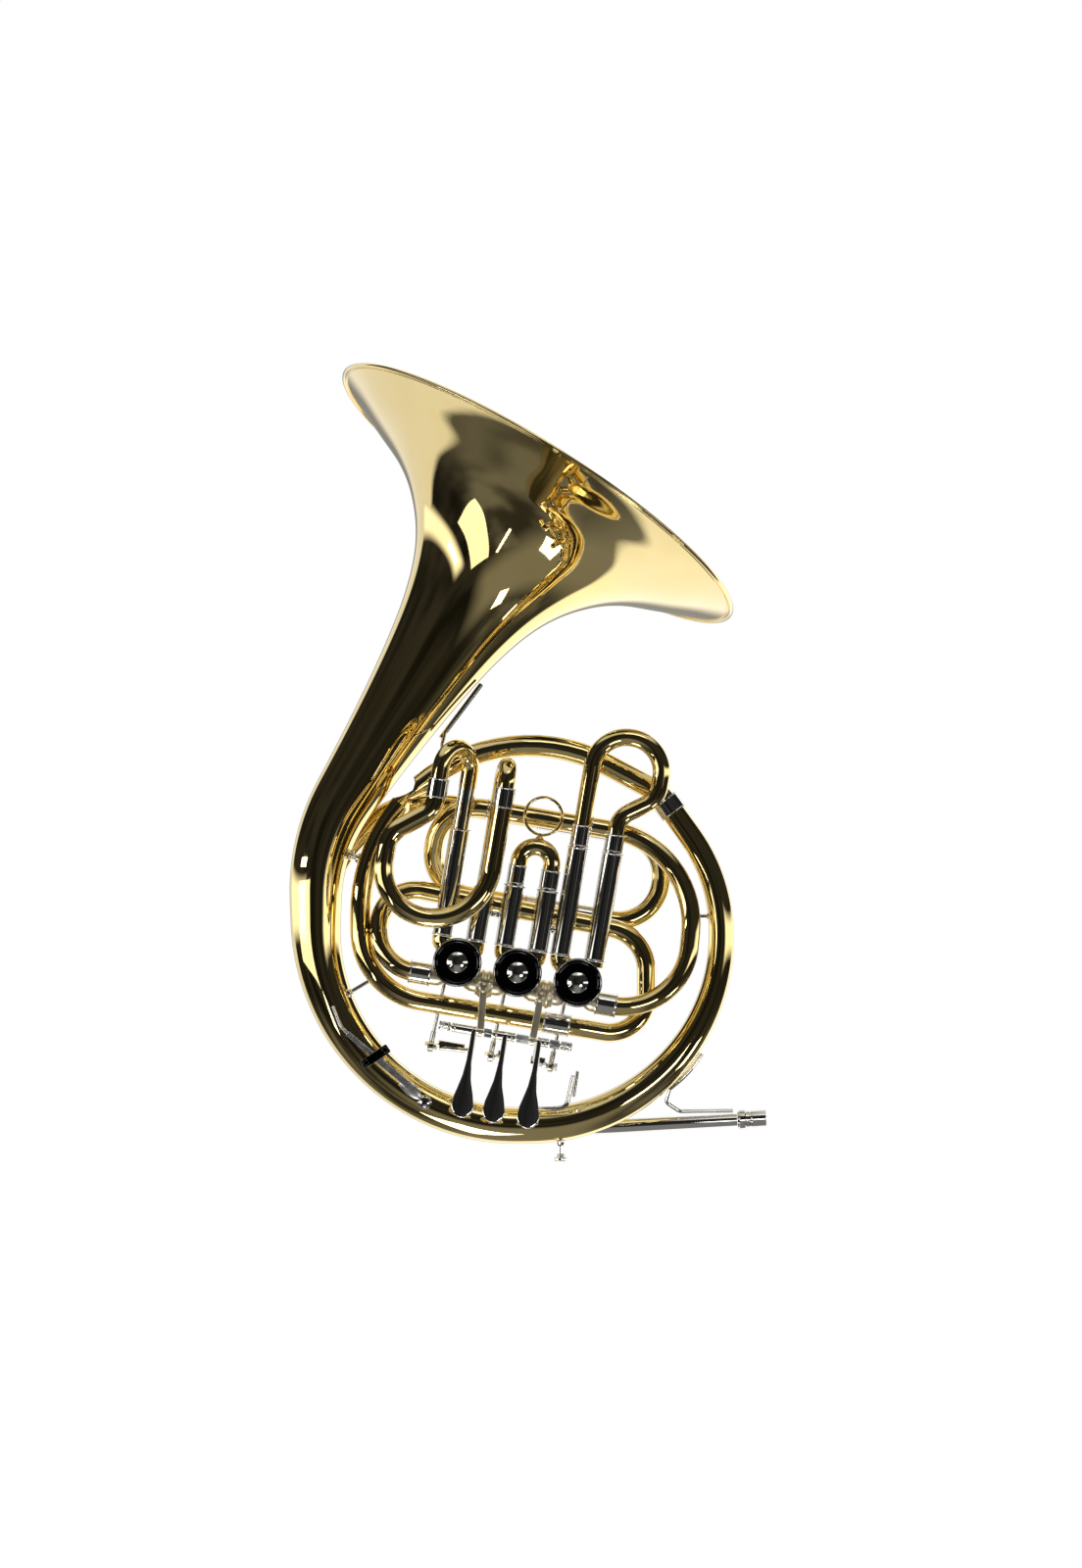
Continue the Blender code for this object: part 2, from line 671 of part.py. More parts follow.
def axle():
    """The hinge rod with a knurled head at each end."""
    rod = cylinder("rod", (-42, AXLE_Y, AXLE_V), (1, 0, 0), AXLE_R, 84, 12)
    left = cylinder("left", (-44, AXLE_Y, AXLE_V), (1, 0, 0), 2.9, 7.6, 16)
    right = cylinder("right", (36.4, AXLE_Y, AXLE_V), (1, 0, 0), 2.9, 7.2, 16)
    as_node(combine("lever_axle", rod, [left, right]), NICKEL, CLUSTER)


def spring(number):
    """A torsion spring around the axle."""
    start, end = SPRING_SPAN[number]
    turns = 5
    per_turn = 8
    count = turns * per_turn
    points = []
    for step in range(count + 1):
        angle = math.tau * step / per_turn
        points.append(Vector((start + 0.6 + (end - start - 1.2) * step / count,
                              AXLE_Y + 2.5 * math.cos(angle), AXLE_V + 2.5 * math.sin(angle))))
    obj = meshed(swept(f"lever_spring_{number}", points, [0.4] * len(points), 0, caps=True))
    as_node(obj, STEEL, CLUSTER)


def lever_bracket(side, boss_u):
    """A boss around the tube between two valves, with the strap down to the axle."""
    top_u = STRAP_TOP_U[side]
    eye_u = STRAP_FOOT_U[side]
    boss = turned("boss", (boss_u - 5.5, VALVE_Y, PORT_V), (1, 0, 0),
                  ((0, 11), (7.6, 11), (9.2, 8), (9.2, 3), (7.6, 0), (0, 0)), 16)
    middle = ((top_u + eye_u) / 2, -29.2, (PORT_V + AXLE_V) / 2 - 0.6)
    lean = Matrix.Rotation(math.atan2(top_u - eye_u, PORT_V - AXLE_V), 4, "Y")
    strap = box("strap", middle, (STRAP_WIDTH, 1.4, 26.6), lean)
    bridge = box("bridge", (top_u, -28.0, PORT_V - 1.5), (5.6, 3.8, 5.0))
    foot = cylinder("foot", (eye_u - 1.4, AXLE_Y, AXLE_V), (1, 0, 0), 3.3, 2.8, 16)
    bore = cylinder("bore", (boss_u - 7, VALVE_Y, PORT_V), (1, 0, 0), 6.9, 14, 16)
    eye = cylinder("eye", (eye_u - 3, AXLE_Y, AXLE_V), (1, 0, 0), 1.9, 6, 16)
    obj = combine(f"lever_bracket_{side}", boss, [bridge, strap, foot], [bore, eye])
    as_node(obj, NICKEL, CLUSTER)


# ---- valve slides ----------------------------------------------------------------------------

def sleeve(name, u, y, low, high, look=NICKEL):
    pipe(name, [(u, y, low), (u, y, high)], SLEEVE_R, look, wall=SHEET, resolution=4, parent=CLUSTER)


def slide_sleeves():
    for number, names in ((1, ("left", "right")), (2, ("left", "right")), (3, ("front", "rear"))):
        for name, u, top in zip(names, SLIDE_U[number], SLEEVE_TOP[number]):
            sleeve(f"slide{number}_sleeve_{name}", u, VALVE_Y, KNUCKLE_TOP + GAP, top)


def slide_1():
    left, right = SLIDE_U[1]
    corners = [(left, VALVE_Y, LEG_END_V), (left, VALVE_Y, 163, 22.4), (71.7, VALVE_Y, 163, 22.4),
               (71.7, VALVE_Y, 126.4, 15), (right, VALVE_Y, 110.4, 15), (right, VALVE_Y, LEG_END_V)]
    pipe("slide1_crook", corners, LEG_R, BRASS, wall=SHEET, resolution=4, parent=CLUSTER)


def slide_2():
    left, right = SLIDE_U[2]
    bend = (right - left) / 2 - 0.05
    corners = [(left, VALVE_Y, LEG_END_V), (left, VALVE_Y, 82.5, bend), (right, VALVE_Y, 82.5, bend),
               (right, VALVE_Y, LEG_END_V)]
    pipe("slide2_crook", corners, LEG_R, BRASS, wall=SHEET, resolution=4, parent=CLUSTER)
    centre = (0.3, VALVE_Y, 103.0)
    wire = [(12.3 + math.sin(angle), math.cos(angle)) for angle in (math.tau * s / 6 for s in range(6))]
    ring = turned("ring", centre, (0, -1, 0), wire, 28, ring=True)
    foot = cylinder("foot", (0.3, VALVE_Y, 82.5 + LEG_R + 2 * GAP), (0, 0, 1), 1.6, 2.3, 12)
    as_node(combine("slide2_pull_ring", ring, [foot]), BRASS, CLUSTER)


def slide_3():
    front, rear = SLIDE_U[3]
    left_u = -70.5
    right_u = -26.9
    bend = math.hypot(left_u - front, FRONT_Y - VALVE_Y) / 2 - 0.05
    corners = [(front, VALVE_Y, LEG_END_V), (front, VALVE_Y, 137.3, bend),
               (left_u, FRONT_Y, 137.3, bend), (left_u, FRONT_Y, 104.5)]
    pipe("slide3_left_crook", corners, LEG_R, BRASS, wall=SHEET, resolution=4, parent=CLUSTER)
    bend = math.hypot(right_u - rear, FRONT_Y - VALVE_Y) / 2 - 0.05
    corners = [(rear, VALVE_Y, LEG_END_V), (rear, VALVE_Y, 131, bend),
               (right_u, FRONT_Y, 131, bend), (right_u, FRONT_Y, 105)]
    pipe("slide3_right_crook", corners, LEG_R, BRASS, wall=SHEET, resolution=4, parent=CLUSTER)
    corners = [(left_u, FRONT_Y, 116), (left_u, FRONT_Y, 95.7, 14), (-97, FRONT_Y, 75.1, 18),
               (-97, FRONT_Y, 25.4, 32), (right_u, FRONT_Y, 25.4, 38), (right_u, FRONT_Y, 117.3)]
    length = distances(route(corners))[-1]
    outline = ((0, SLEEVE_R), (12.5, SLEEVE_R), (13.8, 6.3), (length - 14.5, 6.3),
               (length - 13.2, SLEEVE_R), (length, SLEEVE_R))
    pipe("slide3_loop", corners, outline, BRASS, wall=SHEET, resolution=4, parent=CLUSTER)


# ---- hand fittings and braces ----------------------------------------------------------------

def pinky_hook():
    corners = [(24, -12.2, 11), (46.6, -13.8, 11.8, 6), (51.1, -15, 33)]
    bar = rod_solid("bar", corners, 1.5)
    leaf = box("leaf", (52.5, -15.4, 27.5), (2.2, 9, 17), Matrix.Rotation(math.radians(9), 4, "Y"))
    as_node(combine("pinky_hook", bar, [leaf]), NICKEL)


def thumb_rest():
    """The adjustable rest on the lower left: a flat bar on two posts, its saddle and end screw."""
    along = Matrix.Rotation(math.radians(130), 4, "Y")
    upper = box("upper", (-87.0, -19.8, 52.9), (3.4, 2.4, 24), along)
    lower = box("lower", (-65.6, -19.8, 34.6), (4.8, 2.4, 33), along)
    saddle = box("saddle", (-77.6, -21.6, 45.6), (6.2, 3.4, 18.4), Matrix.Rotation(math.radians(46), 4, "Y"))
    high_post = cylinder("high_post", (-93, -19.8, 57.8), (0, 1, 0), 1.6, 5.2, 12)
    low_post = cylinder("low_post", (-58, -19.8, 28.3), (0, 1, 0), 1.6, 6.6, 12)
    as_node(combine("thumb_rest", upper, [lower, saddle, high_post, low_post]), NICKEL)
    screw = turned("thumb_rest_screw", (-45.5, -14.6, 15.5), (-0.05, -1, 0.05),
                   ((0, 8.4), (3.2, 7.8), (4.6, 6.0), (4.6, 4.8), (2.0, 4.0), (2.0, 0), (0, 0)), 16)
    as_node(screw, NICKEL)


def strap_stud():
    profile = ((0, 0.0), (2.2, 0.0), (2.2, -9.6), (4.4, -10.2), (4.4, -12.4), (0, -12.4))
    as_node(turned("strap_stud", (42.9, 0, -10.9), (0, 0, 1), profile, 16), NICKEL)


def braces():
    flange = rod_solid("flange", [(-9.0, 28, 288.4), (-35.5, 19.5, 253.0)], 1.7)
    wire = rod_solid("wire", [(-32.6, 20.4, 257), (-34.5, 10, 249, 3), (-34.5, 1, 243.0)], 1.3)
    as_node(combine("brace_bell", flange, [wire]), NICKEL)
    flange = rod_solid("flange", [(135.2, 2, 46.6), (126, 2, 33.6, 60), (113.5, 3, 23.4)], 1.5)
    corners = [(114.5, 3, 24.4), (111.5, 8, 15, 4), (120.5, 14, 8.9, 5), (155.5, 17, 9.2)]
    wire = rod_solid("wire", corners, 1.3)
    as_node(combine("brace_leadpipe", flange, [wire]), NICKEL)
    as_node(rod_solid("brace_bell_tail", [(-94.6, 2, 176.8), (-88.5, -1, 174.2)], 1.8), NICKEL)
    as_node(rod_solid("brace_lower_left", [(-91.6, -3, 88.6), (-84.6, -5, 93.2)], 1.6), NICKEL)


bell_and_body()
rim_wire()
body_ferrule()
second_branch()
valve3_branch()
valve1_branch()
main_slide()
leadpipe()
for number in VALVE_U:
    valve(number)
    stop_arm(number)
    push_rod(number)
    lever(number)
    spring(number)
axle()
lever_bracket("left", (VALVE_U[3] + VALVE_U[2]) / 2)
lever_bracket("right", (VALVE_U[2] + VALVE_U[1]) / 2)
slide_sleeves()
slide_1()
slide_2()
slide_3()
pinky_hook()
thumb_rest()
strap_stud()
braces()
for leftover in list(CUTTERS.objects):
    bpy.data.objects.remove(leftover)
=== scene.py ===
"""A single B flat horn in lacquered brass and nickel silver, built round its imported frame.
Shapes are written in millimetres: X is right, Y is away from the viewer, Z is up. The valve
cluster has a frame of its own: u along the valves' row, y away, v up along the slides."""

import json
import math

import bmesh
import bpy
import numpy as np
from mathutils import Matrix, Vector

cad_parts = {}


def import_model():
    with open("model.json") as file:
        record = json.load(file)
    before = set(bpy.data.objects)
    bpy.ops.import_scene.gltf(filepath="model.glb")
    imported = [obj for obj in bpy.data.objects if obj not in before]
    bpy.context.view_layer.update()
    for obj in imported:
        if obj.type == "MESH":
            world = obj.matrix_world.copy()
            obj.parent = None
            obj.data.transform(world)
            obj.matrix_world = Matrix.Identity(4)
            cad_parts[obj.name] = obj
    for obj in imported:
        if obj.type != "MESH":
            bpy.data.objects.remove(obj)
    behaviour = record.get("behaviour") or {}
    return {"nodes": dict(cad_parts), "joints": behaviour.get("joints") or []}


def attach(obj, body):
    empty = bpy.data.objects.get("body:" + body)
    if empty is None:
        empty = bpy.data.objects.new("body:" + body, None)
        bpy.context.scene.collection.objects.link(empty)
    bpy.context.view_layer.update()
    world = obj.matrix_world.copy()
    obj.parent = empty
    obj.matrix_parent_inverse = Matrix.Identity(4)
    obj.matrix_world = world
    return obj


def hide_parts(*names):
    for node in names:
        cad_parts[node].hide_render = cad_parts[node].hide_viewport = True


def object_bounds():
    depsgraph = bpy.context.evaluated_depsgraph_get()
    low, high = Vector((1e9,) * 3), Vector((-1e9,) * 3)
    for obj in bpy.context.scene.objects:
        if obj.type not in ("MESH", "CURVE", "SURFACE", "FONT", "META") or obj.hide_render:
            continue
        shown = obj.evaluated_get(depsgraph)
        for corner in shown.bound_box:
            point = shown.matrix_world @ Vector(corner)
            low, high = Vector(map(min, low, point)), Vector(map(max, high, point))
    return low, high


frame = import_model()
CAD_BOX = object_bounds()

MM = 0.001
SIDES = 40
BAR_EASE = 0.35
CORNER_STEPS = 3
ARC_STEP = math.radians(5)
JOINTS = {joint["name"]: joint for joint in frame["joints"]}
BODY = "horn_body"


# ---- the valve cluster's frame, from the joints -------------------------------------------------

def joint_place(name):
    return Vector(JOINTS[name]["pos_m"]) / MM


ROW = Vector(JOINTS["lever_1_press"]["axis"]).normalized()
AWAY = Vector((0, 1, 0))
RISE = ROW.cross(AWAY)
VALVE_2_U = 0.6
VALVE_Y = joint_place("rotor_2_turn").y
ORIGIN = joint_place("rotor_2_turn") - ROW * VALVE_2_U - AWAY * VALVE_Y
CLUSTER = Matrix.Translation(ORIGIN) @ Matrix((ROW, AWAY, RISE)).transposed().to_4x4()
WORLD = Matrix.Identity(4)


def in_cluster(point):
    return CLUSTER.inverted() @ point


VALVE_U = {n: in_cluster(joint_place(f"rotor_{n}_turn")).x for n in (1, 2, 3)}
STEM_U = {n: in_cluster(joint_place(f"lever_{n}_press")).x for n in (1, 2, 3)}
BALL_U = {n: in_cluster(joint_place(f"push_rod_{n}_swing")).x for n in (1, 2, 3)}
AXLE = in_cluster(joint_place("lever_1_press"))
BALL = in_cluster(joint_place("push_rod_1_swing"))

# Heights and depths in the cluster
FRONT_Y = -41.0
REAR_Y = 9.8
MIDDLE_Y = -5.0
LOWER_Y = -12.0
PORT_V = -11.0
LOWER_V = -29.2
MIDDLE_V = 43.5
UPPER_V = 101.5
MAIN_SLIDE_V = UPPER_V - 1
KNUCKLE_TOP = 15.0

# Tube sizes
BORE_R = 6.25
LEG_R = 5.7
MAIN_SLEEVE = 44
SLEEVE_R = 6.9
SLEEVE_TOP = {1: (87.0, 87.0), 2: (56.0, 56.0), 3: (86.0, 51.0)}
SLIDE_U = {1: (26.2, 48.6), 2: (-10.5, 11.1), 3: (-51.6, -29.6)}

# Bell and body loop, in the world's frame
MOUTH = Vector((27.6, 58.0, 413.8))
MOUTH_R = 150.7
RIM_WIRE_R = 1.5
BELL_CORNER = Vector((-117.2, 6, 184.5))
LOOP_RIGHT = 147.8
BODY_END = Vector((113.9, 0, 208.0))
BODY_END_RUN = Vector((-0.584, 0, 0.812))
BELL_LENGTH = 436.0
# Distance from the mouth, radius
FLARE = ((0.2, 149.2), (6, 134.5), (14, 117.5), (27, 91.5), (37, 77.6), (47, 67.4), (61, 56.4),
         (77, 47.6), (105, 38.3), (154, 29.5), (201, 24.2), (240, 21), (275, 18.6), (321, 16.6),
         (430, 13.2), (527, 12), (631, 10.4), (700, 8.7), (830, 7.7))


# ---- meshes as lists of points and faces, in millimetres ---------------------------------------

def grid(rings, closed=False):
    """Skin over rings of points. Closed joins the last ring to the first, and open has end caps."""
    rings = np.asarray(rings, float)
    count, sides = rings.shape[:2]
    faces = []
    for i in range(count if closed else count - 1):
        j = (i + 1) % count
        for k in range(sides):
            m = (k + 1) % sides
            faces.append((i * sides + k, i * sides + m, j * sides + m, j * sides + k))
    if not closed:
        faces.append(tuple(range(sides - 1, -1, -1)))
        faces.append(tuple((count - 1) * sides + k for k in range(sides)))
    return rings.reshape(-1, 3), faces


def route(corners, step=ARC_STEP):
    """Straight runs joined by arcs. A corner is (x, y, z) or (x, y, z, bend radius)."""
    places = [Vector(corner[:3]) for corner in corners]
    points = [places[0]]
    for before, corner, after, spec in zip(places, places[1:], places[2:], corners[1:]):
        incoming = (corner - before).normalized()
        outgoing = (after - corner).normalized()
        turn = incoming.angle(outgoing)
        reach = spec[3] * math.tan(turn / 2)
        axis = incoming.cross(outgoing).normalized()
        start = corner - incoming * reach
        centre = start + axis.cross(incoming) * spec[3]
        steps = max(2, math.ceil(turn / step))
        for i in range(steps + 1):
            spin = Matrix.Rotation(turn * i / steps, 3, axis)
            points.append(centre + spin @ (start - centre))
    points.append(places[-1])
    return [point for point, last in zip(points, [None, *points])
            if last is None or (point - last).length > 0.05]


def distances(points):
    total = [0.0]
    for here, there in zip(points, points[1:]):
        total.append(total[-1] + (there - here).length)
    return total


def resampled(points, marks):
    """Points at the given distances along a route."""
    along = distances(points)
    table = np.array([tuple(point) for point in points])
    return [Vector(np.array([np.interp(mark, along, table[:, i]) for i in range(3)]))
            for mark in marks]


def part_of(points, start, end):
    """The stretch of a route between two distances along it."""
    along = distances(points)
    marks = [start, *[mark for mark in along if start + 0.2 < mark < end - 0.2], end]
    return resampled(points, marks)


def linear(outline):
    """Radius at a distance, from (distance, radius) pairs."""
    marks, radii = zip(*outline)
    return lambda mark: float(np.interp(mark, marks, radii))


def frames(points):
    """Side vectors that turn as little as possible along a route."""
    table = np.array([tuple(point) for point in points])
    tangent = np.gradient(table, axis=0)
    chord = np.diff(table, axis=0)
    chord /= np.linalg.norm(chord, axis=1)[:, None]
    tangent[1:-1] = chord[1:] + chord[:-1]
    tangent[0], tangent[-1] = chord[0], chord[-1]
    tangent /= np.linalg.norm(tangent, axis=1)[:, None]
    side = np.cross(tangent[0], (0, 1, 0))
    if np.linalg.norm(side) < 0.1:
        side = np.cross(tangent[0], (1, 0, 0))
    found = []
    for direction in tangent:
        side = side - direction * (side @ direction)
        side /= np.linalg.norm(side)
        found.append((side.copy(), np.cross(direction, side)))
    return table, tangent, found


def rings_of(points, radii, sides):
    table, _, sides_of = frames(points)
    angles = np.linspace(0, math.tau, sides, endpoint=False)
    rings = []
    for centre, radius, (side, up) in zip(table, radii, sides_of):
        rings.append(centre + radius * (np.cos(angles)[:, None] * side + np.sin(angles)[:, None] * up))
    return rings


def tube(points, radius, wall=0.8, sides=SIDES):
    """A hollow tube along a route. Radius is a number, or gives one for a distance along it."""
    marks = distances(points)
    radii = np.array([radius(mark) if callable(radius) else radius for mark in marks])
    outer = rings_of(points, radii, sides)
    inner = rings_of(points, radii - wall, sides)
    return grid(outer + inner[::-1], closed=True)


def bar(points, radius, sides=20):
    """A solid round bar with eased ends."""
    table, tangent, _ = frames(points)
    marks = distances(points)
    radii = [radius(mark) if callable(radius) else radius for mark in marks]
    steps = [math.radians(angle) for angle in (90, 60, 30)]
    low, high = BAR_EASE * radii[0], BAR_EASE * radii[-1]
    places = [table[0] + tangent[0] * low * (1 - math.sin(a)) for a in steps]
    places += [table[0] + tangent[0] * low, *table[1:-1], table[-1] - tangent[-1] * high]
    places += [table[-1] - tangent[-1] * high * (1 - math.sin(a)) for a in steps[::-1]]
    sizes = [radii[0] - low * (1 - math.cos(a)) for a in steps] + radii
    sizes += [radii[-1] - high * (1 - math.cos(a)) for a in steps[::-1]]
    return grid(rings_of([Vector(place) for place in places], sizes, sides))


def rounded(profile, size, closed=False):
    """A profile whose corners are eased over size on either side."""
    points = [np.array(point, float) for point in profile]
    count = len(points)
    eased = []
    for i, point in enumerate(points):
        if not closed and i in (0, count - 1):
            eased.append(point)
            continue
        before, after = points[i - 1], points[(i + 1) % count]
        into, out = before - point, after - point
        reach = min(size, 0.45 * np.linalg.norm(into), 0.45 * np.linalg.norm(out))
        start = point + into / np.linalg.norm(into) * reach
        finish = point + out / np.linalg.norm(out) * reach
        for t in np.linspace(0, 1, CORNER_STEPS + 1):
            eased.append(start * (1 - t) ** 2 + point * 2 * t * (1 - t) + finish * t * t)
    return eased


def facing(origin, direction):
    """Matrix at origin whose Z looks along direction."""
    turn = Vector(direction).to_track_quat("Z", "Y").to_matrix().to_4x4()
    return Matrix.Translation(Vector(origin)) @ turn


def moved(shape, matrix):
    points, faces = shape
    table = np.array(matrix)
    return points @ table[:3, :3].T + table[:3, 3], faces


def turned(origin, direction, profile, sides=48, closed=False, size=0.25):
    """A profile of (radius, height), its corners eased, turned about direction."""
    angles = np.linspace(0, math.tau, sides, endpoint=False)
    rings = []
    for radius, height in rounded(profile, size, closed) if size else profile:
        radius = max(radius, 1e-4)
        rings.append(np.stack([radius * np.cos(angles), radius * np.sin(angles),
                               np.full(sides, float(height))], axis=1))
    return moved(grid(rings, closed), facing(origin, direction))


def block(centre, size, turn=None, ease=0.5, segments=3):
    """A box with eased edges."""
    bm = bmesh.new()
    bmesh.ops.create_cube(bm, size=1)
    bmesh.ops.scale(bm, verts=bm.verts, vec=size)
    bmesh.ops.bevel(bm, geom=bm.edges[:], offset=ease, segments=segments, affect="EDGES", profile=0.5)
    matrix = Matrix.Translation(Vector(centre)) @ (turn or WORLD)
    bm.transform(matrix)
    bm.verts.index_update()
    shape = (np.array([tuple(vert.co) for vert in bm.verts]),
             [tuple(vert.index for vert in face.verts) for face in bm.faces])
    bm.free()
    return shape


def ball(centre, radius, sides=24):
    """A ball with a small flat at each pole."""
    angles = [math.radians(a) for a in range(-84, 85, 12)]
    profile = [(radius * math.cos(a), radius * math.sin(a)) for a in angles]
    return turned(centre, (0, 1, 0), [(0, profile[0][1]), *profile, (0, profile[-1][1])], sides, size=0)


def knurled(origin, direction, radius, length):
    """A drum cut with a diamond knurl between two plain ends."""
    lines = 22
    sides = lines * 4
    angles = np.linspace(0, math.tau, sides, endpoint=False)
    rings = []
    for height in np.linspace(0, length, 17):
        inside = min(height, length - height)
        cut = 0.3 * min(1, max(0, inside - 0.5) / 0.4)
        phase = height / length * math.pi * 2.4
        wave = np.abs(np.sin(angles * lines / 2 + phase)) * np.abs(np.sin(angles * lines / 2 - phase))
        edge = radius - 0.35 * max(0, 1 - inside / 0.4)
        reach = edge - cut * (1 - wave)
        rings.append(np.stack([reach * np.cos(angles), reach * np.sin(angles),
                               np.full(sides, height)], axis=1))
    return moved(grid(rings), facing(origin, direction))


# ---- objects -----------------------------------------------------------------------------------

def mesh_of(name, shape, place):
    points, faces = moved(shape, place)
    mesh = bpy.data.meshes.new(name)
    mesh.from_pydata((points * MM).tolist(), [], faces)
    bm = bmesh.new()
    bm.from_mesh(mesh)
    bmesh.ops.remove_doubles(bm, verts=bm.verts, dist=1e-6)
    bmesh.ops.recalc_face_normals(bm, faces=bm.faces)
    bm.to_mesh(mesh)
    bm.free()
    return mesh


def joined(name, shapes, place):
    """One mesh of several closed shapes, united."""
    objects = []
    for i, shape in enumerate(shapes):
        obj = bpy.data.objects.new(f"{name}{i}", mesh_of(name, shape, place))
        bpy.context.scene.collection.objects.link(obj)
        objects.append(obj)
    base = objects[0]
    for other in objects[1:]:
        union = base.modifiers.new("union", "BOOLEAN")
        union.object = other
        union.operation = "UNION"
        union.solver = "MANIFOLD"
    graph = bpy.context.evaluated_depsgraph_get()
    mesh = bpy.data.meshes.new_from_object(base.evaluated_get(graph))
    for obj in objects:
        bpy.data.objects.remove(obj)
    return mesh


def piece(name, shapes, look, body=BODY, node=None, place=CLUSTER, sharp=32):
    """A shown piece: one shape, or a list that is united. It stands for the CAD node named."""
    if isinstance(shapes, list):
        mesh = joined(name, shapes, place)
    else:
        mesh = mesh_of(name, shapes, place)
    mesh.shade_smooth()
    mesh.set_sharp_from_angle(angle=math.radians(sharp))
    mesh.materials.clear()
    mesh.materials.append(look.material)
    obj = bpy.data.objects.new(name, mesh)
    bpy.context.scene.collection.objects.link(obj)
    shading = obj.modifiers.new("shading", "WEIGHTED_NORMAL")
    shading.keep_sharp = True
    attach(obj, body)
    if node:
        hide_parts(node)


# ---- finishes ----------------------------------------------------------------------------------

class Look:
    """A material and the record's slot that it belongs to."""

    def __init__(self, material, slot):
        self.material = material
        self.slot = slot


def link(tree, source, output, target, name):
    tree.links.new(source.outputs[output], target.inputs[name])


def put(node, **values):
    """Sets a node's sockets. An underscore stands for a space in a socket's name."""
    for name, value in values.items():
        node.inputs[name.replace("_", " ")].default_value = value


def noise(tree, coords, scale, detail, stretch=(1, 1, 1)):
    mapping = tree.nodes.new("ShaderNodeMapping")
    put(mapping, Scale=stretch)
    texture = tree.nodes.new("ShaderNodeTexNoise")
    put(texture, Scale=scale, Detail=detail)
    link(tree, coords, "Object", mapping, "Vector")
    link(tree, mapping, "Vector", texture, "Vector")
    return texture


def bump_of(tree, height, strength, distance):
    node = tree.nodes.new("ShaderNodeBump")
    put(node, Strength=strength, Distance=distance)
    link(tree, height, "Fac", node, "Height")
    return node


def metal(name, light, deep, rough, bump, coat=0.0):
    """Polished metal: cloudy tint, uneven polish, buffing lines and a faint ripple."""
    material = bpy.data.materials.new(name)
    material.use_nodes = True
    tree = material.node_tree
    shader = tree.nodes["Principled BSDF"]
    put(shader, Metallic=1.0, Coat_Weight=coat, Coat_Roughness=0.04)
    coords = tree.nodes.new("ShaderNodeTexCoord")

    tint = tree.nodes.new("ShaderNodeValToRGB")
    for stop, place, colour in zip(tint.color_ramp.elements, (0.36, 0.66), (deep, light)):
        stop.position = place
        stop.color = (*colour, 1)
    link(tree, noise(tree, coords, 14, 4), "Fac", tint, "Fac")
    link(tree, tint, "Color", shader, "Base Color")

    polish = tree.nodes.new("ShaderNodeMapRange")
    put(polish, From_Min=0.3, From_Max=0.75, To_Min=rough[0], To_Max=rough[1])
    link(tree, noise(tree, coords, 190, 5), "Fac", polish, "Value")
    link(tree, polish, "Result", shader, "Roughness")

    ripple = bump_of(tree, noise(tree, coords, 46, 2), bump, 0.0006)
    lines = bump_of(tree, noise(tree, coords, 420, 3, (1, 1, 0.12)), bump * 1.6, 0.00003)
    link(tree, ripple, "Normal", lines, "Normal")
    link(tree, lines, "Normal", shader, "Normal")
    return material


BRASS = Look(metal("lacquered_brass", (0.91, 0.73, 0.34), (0.86, 0.67, 0.27), (0.02, 0.05), 0.02, 0.3),
             "lacquered_brass")
NICKEL = Look(metal("nickel_silver", (0.84, 0.82, 0.77), (0.77, 0.75, 0.69), (0.02, 0.06), 0.012),
              "nickel_silver")
PALE_GILT = Look(metal("pale_gilt", (0.95, 0.87, 0.66), (0.88, 0.78, 0.55), (0.30, 0.42), 0.05),
                 "nickel_silver")
BLACK = Look(metal("black_nickel", (0.030, 0.026, 0.027), (0.018, 0.016, 0.017), (0.05, 0.12), 0.04, 0.5),
             "black_nickel")
SATIN = Look(metal("satin_nickel", (0.92, 0.91, 0.88), (0.82, 0.81, 0.77), (0.28, 0.40), 0.03),
             "nickel_silver")
STEEL = Look(metal("spring_steel", (0.62, 0.63, 0.64), (0.50, 0.51, 0.52), (0.14, 0.28), 0.1),
             "spring_steel")


# ---- bell and body -----------------------------------------------------------------------------

def flare_radius(mark):
    """Smooth reading of the flare, in the logs in which a horn's flare is nearly straight."""
    lead = 40.0
    x = np.log([m + lead for m, _ in FLARE])
    y = np.log([r for _, r in FLARE])
    slope = np.gradient(y, x)
    here = math.log(min(max(mark, FLARE[0][0]), FLARE[-1][0]) + lead)
    i = min(max(int(np.searchsorted(x, here)) - 1, 0), len(x) - 2)
    width = x[i + 1] - x[i]
    t = (here - x[i]) / width
    return math.exp((2 * t ** 3 - 3 * t ** 2 + 1) * y[i] + (t ** 3 - 2 * t ** 2 + t) * width * slope[i]
                    + (3 * t ** 2 - 2 * t ** 3) * y[i + 1] + (t ** 3 - t ** 2) * width * slope[i + 1])


def bell_points():
    corners = [(*MOUTH,), (*BELL_CORNER, 120), (BELL_CORNER.x, 0, 0, 132), (LOOP_RIGHT, 0, 0, 124),
               (LOOP_RIGHT, 0, 160.9, 110), (*BODY_END,)]
    return route(corners, math.radians(3))


def bell():
    points = bell_points()
    along = distances(points)
    near = [0.2 + 1.2 * i + 0.03 * i * i for i in range(60)]
    marks = [m for m in near if m < 150]
    marks += list(np.arange(marks[-1] + 4, BELL_LENGTH, 4)) + [BELL_LENGTH + 0.28]
    sides = 128
    shell = tube(resampled(points, marks), lambda mark: flare_radius(mark + marks[0]), 0.6, sides)
    piece("fine_bell", shell, BRASS, node="bell", place=WORLD, sharp=60)
    marks = list(np.arange(BELL_LENGTH + 0.3, along[-1], 4)) + [along[-1]]
    shell = tube(resampled(points, marks), lambda mark: flare_radius(mark + marks[0]), 0.8, 56)
    piece("fine_body_branch", shell, BRASS, node="body_branch", place=WORLD)


